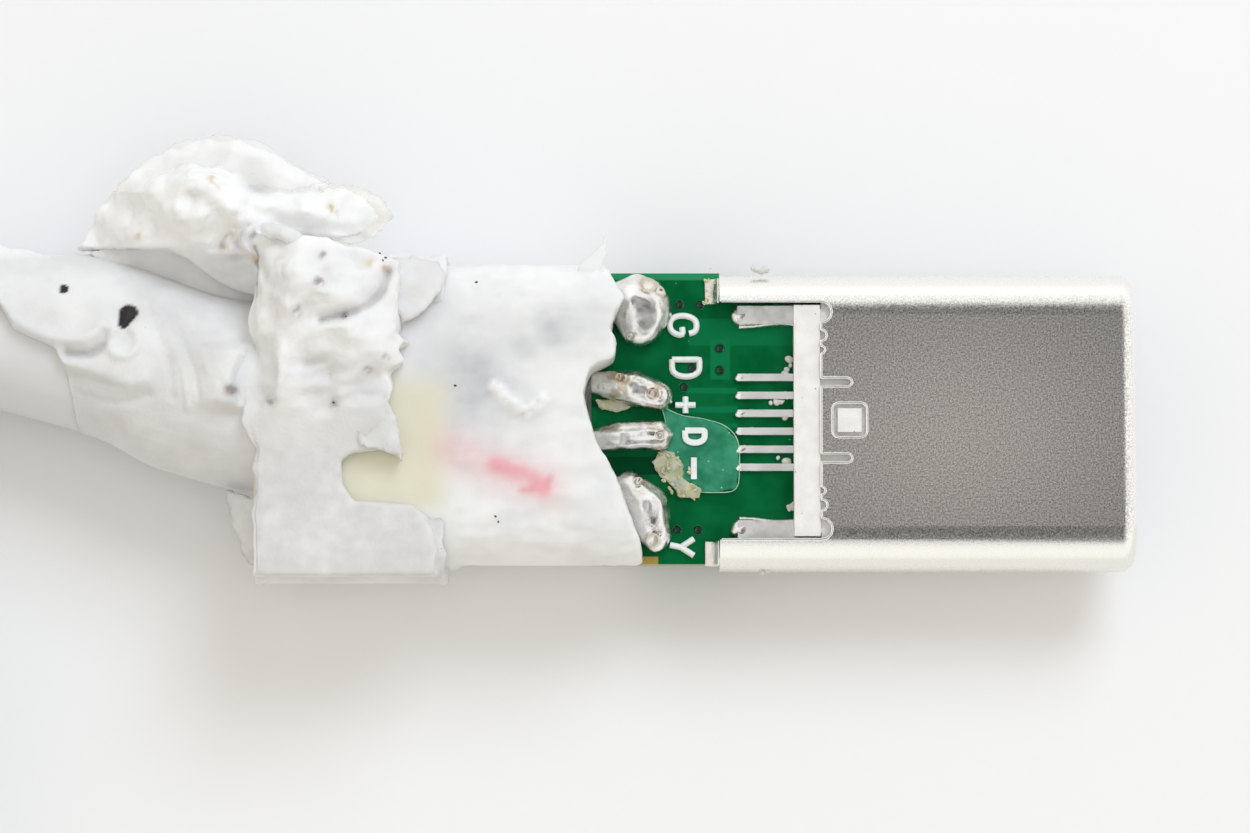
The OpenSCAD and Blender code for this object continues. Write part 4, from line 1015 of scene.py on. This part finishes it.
def ball(radius, stretch=(1, 1, 1), rings=8):
    """A rounded lump with uneven sides, in millimetres, to copy."""
    points, faces = [], []
    for i in range(rings + 1):
        tilt = math.pi * i / rings
        for k in range(2 * rings):
            turn = math.pi * k / rings
            level = math.sin(tilt)
            spread = Vector((level * math.cos(turn), level * math.sin(turn), math.cos(tilt)))
            swell = 1 + 0.18 * noise.noise(spread * 1.7)
            points.append([radius * swell * spread[a] * stretch[a] * MM for a in range(3)])
    for i in range(rings):
        for k in range(2 * rings):
            n = (k + 1) % (2 * rings)
            here, below = i * 2 * rings, (i + 1) * 2 * rings
            faces.append((here + k, below + k, below + n, here + n))
    mesh = bpy.data.meshes.new("ball")
    mesh.from_pydata(points, [], faces)
    return mesh


def top_of(piece):
    """A function that finds the height of a piece's top at a place, in millimetres."""
    corners = [v.co for v in piece.data.vertices]
    tree = BVHTree.FromPolygons(corners, [p.vertices for p in piece.data.polygons])

    def height(x, y):
        hit = tree.ray_cast(Vector((x, y, 20)) * MM, Vector((0, 0, -1)))[0]
        return hit.z / MM if hit else 0.0

    return height


OUTER_SPECKS = [(0.17, 2.57), (-0.17, 0.28), (1.02, 4.42), (1.13, 4.2), (1.2, 4.28)]
INNER_SPECKS = [(3.65, 3.7), (1.69, 4.2), (3.09, 0.83), (2.65, -2.98), (4.28, -2.9), (4.2, -2.75),
                (2.73, -4.0)]
outer_top, inner_top = top_of(outer), top_of(inner)
specks = [(x, y, outer_top(x, y)) for x, y in OUTER_SPECKS]
specks += [(x, y, inner_top(x, y)) for x, y in INNER_SPECKS]
mesh = copied(specks, ball(0.045, (1.2, 0.8, 0.5), 5), dirt, 0.5, 1.2, 6.0, 2)
add_piece("dark_specks", mesh, dirt)

# %%
# A curled strip where the flap meets the lump
CURL = [(-2.1, 4.95, 6.0), (-1.85, 4.98, 6.15), (-1.5, 4.85, 6.2), (-1.2, 4.7, 6.1)]
curl = swept([smooth_path(CURL, 0.1)], 0.2, 0.08, 14, white)
places = positions(curl)
places += 0.1 * np.column_stack([fractal(places, 0.35, 3, seed) for seed in (1.1, 2.2, 3.3)])
set_positions(curl, places)
unmarked(curl)
add_piece("torn_curl", curl, white)

# %% [markdown]
# ## Solder
# The four joints are uneven lumps, with craters where flux boiled out. The two fillets tie the
# shell's arms to the board, and each contact tail ends in a small bead.

# %%
# Solder joints
CRATERS = {
    "solder_ground": [(8.35, 3.75, 0.16), (8.6, 3.6, 0.12), (7.9, 2.35, 0.08)],
    "solder_data_plus": [(8.5, 0.75, 0.12), (7.6, 1.2, 0.1)],
    "solder_data_minus": [(8.7, -0.4, 0.08)],
    "solder_power": [(8.5, -3.3, 0.14), (8.1, -1.7, 0.1)],
    "shell_solder_left": [],
    "shell_solder_right": [],
}
BOARD_TOP = 3.2
FLUX_SHARE = {"solder_data_plus": 0.75, "solder_data_minus": 0.45}


def solder_shape(node):
    def shape(points, outward, mesh):
        coarse = 0.035 if "data" in node else 0.02
        move = coarse * fractal(points, 0.55, 2, len(node)) + 0.004 * fractal(points, 0.12, 2, 2.0)
        if node == "solder_data_minus":
            move += 0.02 * np.cos(points[:, 1] * 18)
        rim = np.zeros(len(points))
        for x, y, radius in CRATERS[node]:
            distance = line_distance(points, [(x, y), (x, y)])
            move -= 0.1 * np.exp(-((distance / radius) ** 2))
            rim = np.maximum(rim, np.exp(-(((distance - 1.2 * radius) / (0.35 * radius)) ** 2)))
        low = fade(-points[:, 2], -3.45, -3.2)
        patches = fade(fractal(points, 0.3, 3, 8.8), 0.05, 0.35) * FLUX_SHARE.get(node, 0.12)
        paint(mesh, "flux", np.clip(0.6 * rim + patches + 0.5 * low, 0, 0.9))
        moved = points + outward * (move + 0.04 * rim)[:, None]
        if node == "solder_ground":
            bulge = np.exp(-(((points[:, 1] - 2.95) / 0.55) ** 2))
            moved[:, 0] += 0.3 * fade(points[:, 0], 7.9, 8.5) * bulge
        moved[:, 2] = np.maximum(moved[:, 2], BOARD_TOP - 0.01)
        return moved

    return shape


for node in CRATERS:
    mesh = refined(node, 0.035, 4 if "data" in node else 14, solder_shape(node))
    add_piece(node + "_wrinkled", mesh, solder, [node])

# %%
# Beads on the contact tails and legs
CONTACT_Y = [-1.25, -0.75, -0.25, 0.25, 0.75, 1.25]
LEG_Y = 2.97
tail_beads = [(10.98, y, BOARD_TOP + 0.06) for y in CONTACT_Y]
tail_beads += [(11.2, y + 0.01, BOARD_TOP + 0.04) for y in CONTACT_Y]
mesh = copied(tail_beads, ball(0.125, (1.7, 0.95, 0.75)), solder, 0.85, 1.05, 0.25, 5)
paint(mesh, "flux", 0.1 * np.ones(len(mesh.vertices)))
add_piece("tail_solder", mesh, solder)
leg_beads = [(10.95, side * LEG_Y, BOARD_TOP + 0.06) for side in (-1, 1)]
mesh = copied(leg_beads, ball(0.32, (1.0, 0.9, 0.7)), solder, 0.9, 1.0, 0.3, 9)
paint(mesh, "flux", 0.2 * np.ones(len(mesh.vertices)))
add_piece("leg_solder", mesh, solder)
fillets = [
    smooth_path([(x, side * LEG_Y + edge * (0.2 + 0.05 * math.sin(3 * x + edge + side)), BOARD_TOP + 0.04)
                 for x in (10.9, 11.3, 11.7, 12.1, 12.5, 12.8)], 0.1)
    for side in (-1, 1) for edge in (-1, 1)
]
mesh = swept(fillets, 0.13, 0.08, 10, solder)
paint(mesh, "flux", 0.15 * np.ones(len(mesh.vertices)))
add_piece("leg_fillets", mesh, solder)

# %% [markdown]
# ## The board's print, vias and flakes
# Letters name the pads: ground, the two data wires and power. They are strokes of ink with round
# ends, which lie almost flat on the board. Their tops point to the plug's mouth.

# %%
# Printed letters
GLYPHS = {
    "G": [[(0.95, 0.72), (0.85, 0.93), (0.6, 1.0), (0.25, 0.95), (0.04, 0.7), (0.0, 0.4), (0.12, 0.12),
           (0.4, 0.0), (0.75, 0.04), (0.97, 0.22), (1.0, 0.46), (0.62, 0.46)]],
    "D": [[(0.0, 0.0), (0.0, 1.0), (0.5, 1.0), (0.72, 0.96), (0.9, 0.82), (0.98, 0.65), (1.0, 0.5),
           (0.98, 0.35), (0.9, 0.18), (0.72, 0.04), (0.5, 0.0), (0.0, 0.0)]],
    "plus": [[(0.5, 0.0), (0.5, 1.0)], [(0.0, 0.5), (1.0, 0.5)]],
    "minus": [[(0.0, 0.5), (1.0, 0.5)]],
    "Y": [[(0.05, 1.0), (0.5, 0.45), (0.95, 1.0)], [(0.5, 0.45), (0.38, 0.0)]],
}
PRINT = [("G", 8.98, 2.98, 0.74, 0.52), ("D", 9.04, 1.76, 0.76, 0.48), ("plus", 9.13, 0.72, 0.56, 0.46),
         ("D", 9.4, -0.23, 0.54, 0.34), ("minus", 9.54, -0.98, 0.2, 0.6), ("Y", 8.98, -3.2, 0.66, 0.52)]
ON_FLAKE, FLAKE_LIFT = (3, 4), 0.12
strokes = []
for index, (glyph, x, y, tall, wide) in enumerate(PRINT):
    for stroke in GLYPHS[glyph]:
        level = BOARD_TOP + (FLAKE_LIFT if index in ON_FLAKE else 0.0)
        places = [(x + v * tall, y - u * wide, level) for u, v in stroke]
        strokes.append(smooth_path(places, 0.05) if glyph == "G" else places)
letters = swept(strokes, 0.085, 0.05, 12, silk)
places = positions(letters)
base = np.where(places[:, 2] > BOARD_TOP + 0.5 * FLAKE_LIFT, BOARD_TOP + FLAKE_LIFT, BOARD_TOP)
places[:, 2] = base + 0.014 + 0.14 * (places[:, 2] - base)
set_positions(letters, places)
add_piece("board_print", letters, silk)

# %%
# Via rings, near-black discs of painted shade in the via holes, the lifted flake and flux
VIAS = [(9.25, 3.29), (9.81, 3.29), (10.36, 2.07), (10.36, 1.46), (9.36, 0.99), (9.59, 1.52),
        (10.69, -0.88), (10.64, -1.44), (9.17, -2.98), (9.75, -2.98)]
turns = [(0.13 * math.cos(a), 0.13 * math.sin(a), 0) for a in np.linspace(0, 2 * math.pi, 25)]
ring = swept([turns], 0.018, 0.04, 8, via_metal)
rings = copied([(x, y, BOARD_TOP + 0.002) for x, y in VIAS], ring, via_metal)
add_piece("via_rings", rings, via_metal)
hole_shade_discs = copied([(x, y, BOARD_TOP - 0.03) for x, y in VIAS], ball(0.11, (1, 1, 0.3)), hole_shade_material)
add_piece("via_fills", hole_shade_discs, hole_shade_material)

FLAKE = [(8.75, 0.45), (9.3, 0.2), (9.9, 0.1), (10.5, -0.1), (10.85, -0.5), (10.9, -1.2), (10.8, -1.85),
         (10.2, -1.95), (9.6, -1.9), (9.2, -1.75), (8.95, -1.3), (8.7, -0.9), (8.9, -0.3)]
mesh = sheet(FLAKE, lambda x, y: BOARD_TOP + 0.05 + 0.05 * max(0, x - 9.9) + 0.03 * ripple(x, y, 0.5, 3),
             0.03, 0.03, 0.09, 2.0)
add_piece("lifted_mask_flake", mesh, flake_green)
places = [(x, y, BOARD_TOP + 0.07 + 0.05 * max(0, x - 9.9)) for x, y in FLAKE + FLAKE[:1]]
mesh = swept([smooth_path(places, 0.1)], 0.016, 0.06, 6, flake_edge)
add_piece("flake_rim", mesh, flake_edge)
rng = np.random.default_rng(4)
FLUX_POOLS = {
    "flux_pool_power": [(8.75, -0.75), (9.1, -0.85), (9.35, -1.2), (9.3, -1.55), (9.85, -1.85), (9.8, -2.1),
                        (9.3, -2.1), (9.0, -1.75), (8.7, -1.45), (8.5, -1.1)],
    "flux_pool_data": [(6.9, 0.65), (7.5, 0.6), (8.0, 0.42), (7.6, 0.3), (7.1, 0.35)],
}


def pool_height(x, y):
    return BOARD_TOP + 0.08 + 0.08 * ripple(x, y, 0.3, 3)


for name, outline in FLUX_POOLS.items():
    add_piece(name, sheet(outline, pool_height, 0.05, 0.06, 0.07, 7.0), flux)
flux_bits = [(9.35 + 0.2 * a, -1.95 + 0.1 * b, BOARD_TOP + 0.13) for a, b in rng.normal(size=(14, 2))]
flux_bits += [(9.0 + 0.25 * a, -1.25 + 0.3 * b, BOARD_TOP + 0.14) for a, b in rng.normal(size=(26, 2))]
flux_bits += [(10.05 + 0.08 * a, 3.7 + 0.25 * b, BOARD_TOP + 0.1) for a, b in rng.normal(size=(9, 2))]
mesh = copied(flux_bits, ball(0.06, (1, 0.6, 0.5), 4), flux, 0.4, 1.4, 6.0, 3)
add_piece("flux_bits", mesh, flux)
LUMPS = [(12.28, 1.67), (12.2, 1.3), (12.18, 0.77), (11.98, 0.58), (12.2, 0.2), (12.18, -1.09),
         (12.34, -2.35)]
crumbs = [(11.5 + 0.12 * a, 4.22 + 0.05 * b, 3.3) for a, b in rng.normal(size=(9, 2))]
crumbs += [(11.5 + 0.1 * a, -4.05 + 0.05 * b, 3.0) for a, b in rng.normal(size=(7, 2))]
crumbs += [(x + 0.07 * a, y + 0.07 * b, BOARD_TOP + 0.05)
           for x, y in LUMPS for a, b in rng.normal(size=(5, 2))]
mesh = copied(crumbs, ball(0.11, (1, 0.8, 0.7), 5), crumb, 0.5, 1.2, 6.0, 8)
add_piece("residue_crumbs", mesh, crumb)

# %%
# Rims in a brighter copy of the shell's metal round its window, slots and hole: painted highlights on the
# edges
SHELL_X0, SHELL_TOP = 13.15, 4.0
WINDOW_HALF, ARMS_X0 = 3.3, 10.4
SLOT_Y, SLOT_HALF, SLOT_END = 1.05, 0.125, 13.875
NUB_X, NUB_HALF, NUB_ROUND = 13.93, 0.48, 0.18


def arc(x, y, radius, start, end, count=7):
    """Places on an arc in the shell's upper face, its angles in degrees."""
    turns = np.radians(np.linspace(start, end, count))
    return [(x + radius * math.cos(a), y + radius * math.sin(a), SHELL_TOP - 0.02) for a in turns]


half_edge = [(ARMS_X0, WINDOW_HALF, SHELL_TOP - 0.02), (SHELL_X0 - 0.05, WINDOW_HALF, SHELL_TOP - 0.02)]
half_edge += arc(SHELL_X0, WINDOW_HALF - 0.3, 0.3, 90, -90)
half_edge += arc(SHELL_X0, WINDOW_HALF - 0.95, 0.16, 90, -90)
half_edge += arc(SHELL_X0, WINDOW_HALF - 1.35, 0.112, 90, -90)
half_edge += [(SHELL_X0, SLOT_Y + SLOT_HALF, SHELL_TOP - 0.02)] + arc(SLOT_END, SLOT_Y, SLOT_HALF, 90, -90)
half_edge += [(SHELL_X0, SLOT_Y - SLOT_HALF, SHELL_TOP - 0.02)]
rear_edge = half_edge + [(x, -y, z) for x, y, z in half_edge[::-1]]
hole_edge = []
for quarter, (sx, sy) in enumerate(((1, 1), (-1, 1), (-1, -1), (1, -1))):
    corner_x, corner_y = NUB_X + sx * (NUB_HALF - NUB_ROUND), sy * (NUB_HALF - NUB_ROUND)
    hole_edge += arc(corner_x, corner_y, NUB_ROUND, 90 * quarter, 90 * quarter + 90)
mesh = swept([rear_edge, hole_edge + hole_edge[:1]], 0.04, 0.05, 8, rim_highlight_metal)
add_piece("shell_rims", mesh, rim_highlight_metal)

# %% [markdown]
# ## Wires
# They run in the milky moulding from the cord's jacket to their joints, on the CAD's routes.

# %%
# Wires
WIRE_ROUTES = {
    "black": (0.55, [(1.0, 0.46, 3.55), (2.6, 0.9, 3.9), (4.3, 1.9, 4.1), (5.9, 2.75, 4.2),
                     (7.3, 3.1, 4.05)]),
    "red": (0.55, [(1.0, -1.04, 3.55), (2.7, -0.95, 4.1), (4.3, -1.6, 4.25), (5.9, -2.15, 4.25),
                   (7.4, -2.25, 4.05)]),
    "green": (0.35, [(1.0, 0.5, 2.05), (2.6, 0.5, 2.4), (4.2, 0.9, 2.9), (5.3, 1.1, 3.45),
                     (6.5, 1.1, 3.6)]),
    "white": (0.35, [(1.0, -1.08, 2.05), (2.6, -0.9, 2.4), (4.2, -0.65, 2.9), (5.3, -0.5, 3.45),
                     (6.6, -0.45, 3.6)]),
}
for name, (radius, places) in WIRE_ROUTES.items():
    mesh = swept([smooth_path(places, 0.3)], radius, 0.2, 16, wire_materials[name])
    add_piece(f"{name}_wire", mesh, wire_materials[name], [f"wire_{name}"])

# %% [markdown]
# ## The far plug and the ties
# They lie outside the photo. The grip and the bands are softened versions of their solids.

# %%
# Far grip and ties


def soft_shape(amount, scale):
    def shape(points, outward, mesh):
        moved = points + outward * (amount * fractal(points, scale, 2, 1.0))[:, None]
        moved[:, 2] = np.maximum(moved[:, 2], 0.0)
        return moved

    return shape


far_grip = add_piece("far_grip_soft", refined("far_grip", 0.3, 2, soft_shape(0.02, 4.0)), grip_white,
                     ["far_grip"])
ties = []
for node in ("cable_tie_front", "cable_tie_back"):
    mesh = refined(node, 0.16, 2, soft_shape(0.05, 1.5))
    ties.append(add_piece(f"{node}_band", mesh, tie_black, [node]))
far_pieces = [far_grip, *ties, nodes["far_shell"], nodes["far_tongue"]]
far_pieces += [nodes[f"far_contact_{i}"] for i in (1, 2, 3, 4)]

# %% [markdown]
# ## Materials on the CAD's own solids
# These solids keep their CAD shape and take a finished material each.

# %%
# Dress the CAD nodes
NODE_MATERIALS = {
    "plug_shell": nickel, "far_shell": nickel, "contact_housing": ivory, "far_tongue": tongue,
    "latch_left": spring_metal, "latch_right": spring_metal,
    "ground_spring_top": spring_metal, "ground_spring_bottom": spring_metal,
    "circuit_board": board, "pull_up_resistor": chip,
}
BEVELS = {"plug_shell": 0.055, "contact_housing": 0.035, "latch_left": 0.03, "latch_right": 0.03}
BEVELS.update({f"contact_a{i}": 0.02 for i in range(4, 10)})
for name, node in nodes.items():
    material = gold if "contact_" in name and name != "contact_housing" else NODE_MATERIALS.get(name)
    if material is not None:
        node.data.materials.clear()
        node.data.materials.append(material)
    if name in BEVELS:
        bevel = node.modifiers.new("worn_edges", "BEVEL")
        bevel.width = BEVELS[name] * MM
        bevel.segments = 2
        bevel.limit_method = "ANGLE"
        bevel.angle_limit = math.radians(40)
print("dressed nodes:", sum(1 for n in nodes.values() if not n.hide_render))

# %% [markdown]
# ## Floor, light and background
# A white floor under an even white sky, a large soft light from the north-east and a weaker one from
# above. Only reflections see the dark card above the plug: it makes the flat metal grey and leaves the
# round sides bright.

# %%
# Stage


def flat_sheet(name, half_x, half_y, material):
    """A flat rectangle round the origin, given by half its sides."""
    mesh = bpy.data.meshes.new(name)
    corners = [(-half_x, -half_y, 0), (half_x, -half_y, 0), (half_x, half_y, 0), (-half_x, half_y, 0)]
    mesh.from_pydata(corners, [], [(0, 1, 2, 3)])
    mesh.materials.append(material)
    rectangle = bpy.data.objects.new(name, mesh)
    bpy.context.scene.collection.objects.link(rectangle)
    return rectangle


stage_white = finish("floor_white", (0.86, 0.86, 0.865), (0.88, 0.88, 0.885), (0.8, 0.9), 60.0, (2.0, 0.01),
                     specular=0.0)
FLOOR_HALF = 3.0
floor = flat_sheet("floor", FLOOR_HALF, FLOOR_HALF, stage_white)
floor.location.z = -0.02 * MM

card_material = bpy.data.materials.new("card")
card_material.use_nodes = True
tree = card_material.node_tree
tree.nodes.remove(tree.nodes["Principled BSDF"])
place = add(tree, "ShaderNodeTexCoord")
centre = add(tree, "ShaderNodeVectorMath", {"operation": "ADD"})
centre.inputs[1].default_value = (1 * MM, -4.1 * MM, 0)
narrow = add(tree, "ShaderNodeVectorMath", {"operation": "MULTIPLY"})
narrow.inputs[1].default_value = (1.0, 1.6, 0)
away = add(tree, "ShaderNodeVectorMath", {"operation": "LENGTH"})
level = add(tree, "ShaderNodeMapRange", From_Max=8.5 * MM, To_Min=0.82, To_Max=0.12)
glow = add(tree, "ShaderNodeEmission", Color=(1.0, 0.955, 0.90, 1.0))
chain(tree, place.outputs["Object"], centre.inputs[0], centre.outputs["Vector"], narrow.inputs[0],
      narrow.outputs["Vector"], away.inputs[0], away.outputs["Value"], level.inputs["Value"],
      level.outputs["Result"], glow.inputs["Strength"], glow.outputs["Emission"],
      tree.nodes["Material Output"].inputs["Surface"])
card = flat_sheet("card", 13.5 * MM, 23.5 * MM, card_material)
card.location = Vector((19.5, -2.2, 30)) * MM
card.visible_camera = card.visible_diffuse = card.visible_shadow = False
card.visible_transmission = card.visible_volume_scatter = False

world = bpy.data.worlds.new("sky")
world.use_nodes = True
sky = world.node_tree
sky_light = add(sky, "ShaderNodeLightPath")
sky_level = add(sky, "ShaderNodeMapRange", To_Min=0.77, To_Max=1.12)
sky_tint = mixed(sky, sky_light.outputs["Is Glossy Ray"], (1.0, 0.955, 0.84), (1.0, 1.0, 0.99))
chain(sky, sky_light.outputs["Is Glossy Ray"], sky_level.inputs["Value"],
      sky_level.outputs["Result"], sky.nodes["Background"].inputs["Strength"])
sky.links.new(sky_tint, sky.nodes["Background"].inputs["Color"])
bpy.context.scene.world = world

LIT_PLACE = Vector((0.008, 0, 0))
LIGHTS = [("north", (0.09, 0.15, 0.2), 0.12, 0.315), ("top", (0.03, -0.02, 0.3), 0.12, 0.07)]
for name, place, size, power in LIGHTS:
    light = bpy.data.lights.new(name, "AREA")
    light.size = size
    light.color = (0.74, 0.82, 1.0)
    light.energy = power
    lamp = bpy.data.objects.new(name, light)
    lamp.location = place
    lamp.visible_glossy = name == "top"
    lamp.rotation_euler = (LIT_PLACE - Vector(place)).to_track_quat("-Z", "Y").to_euler()
    bpy.context.scene.collection.objects.link(lamp)
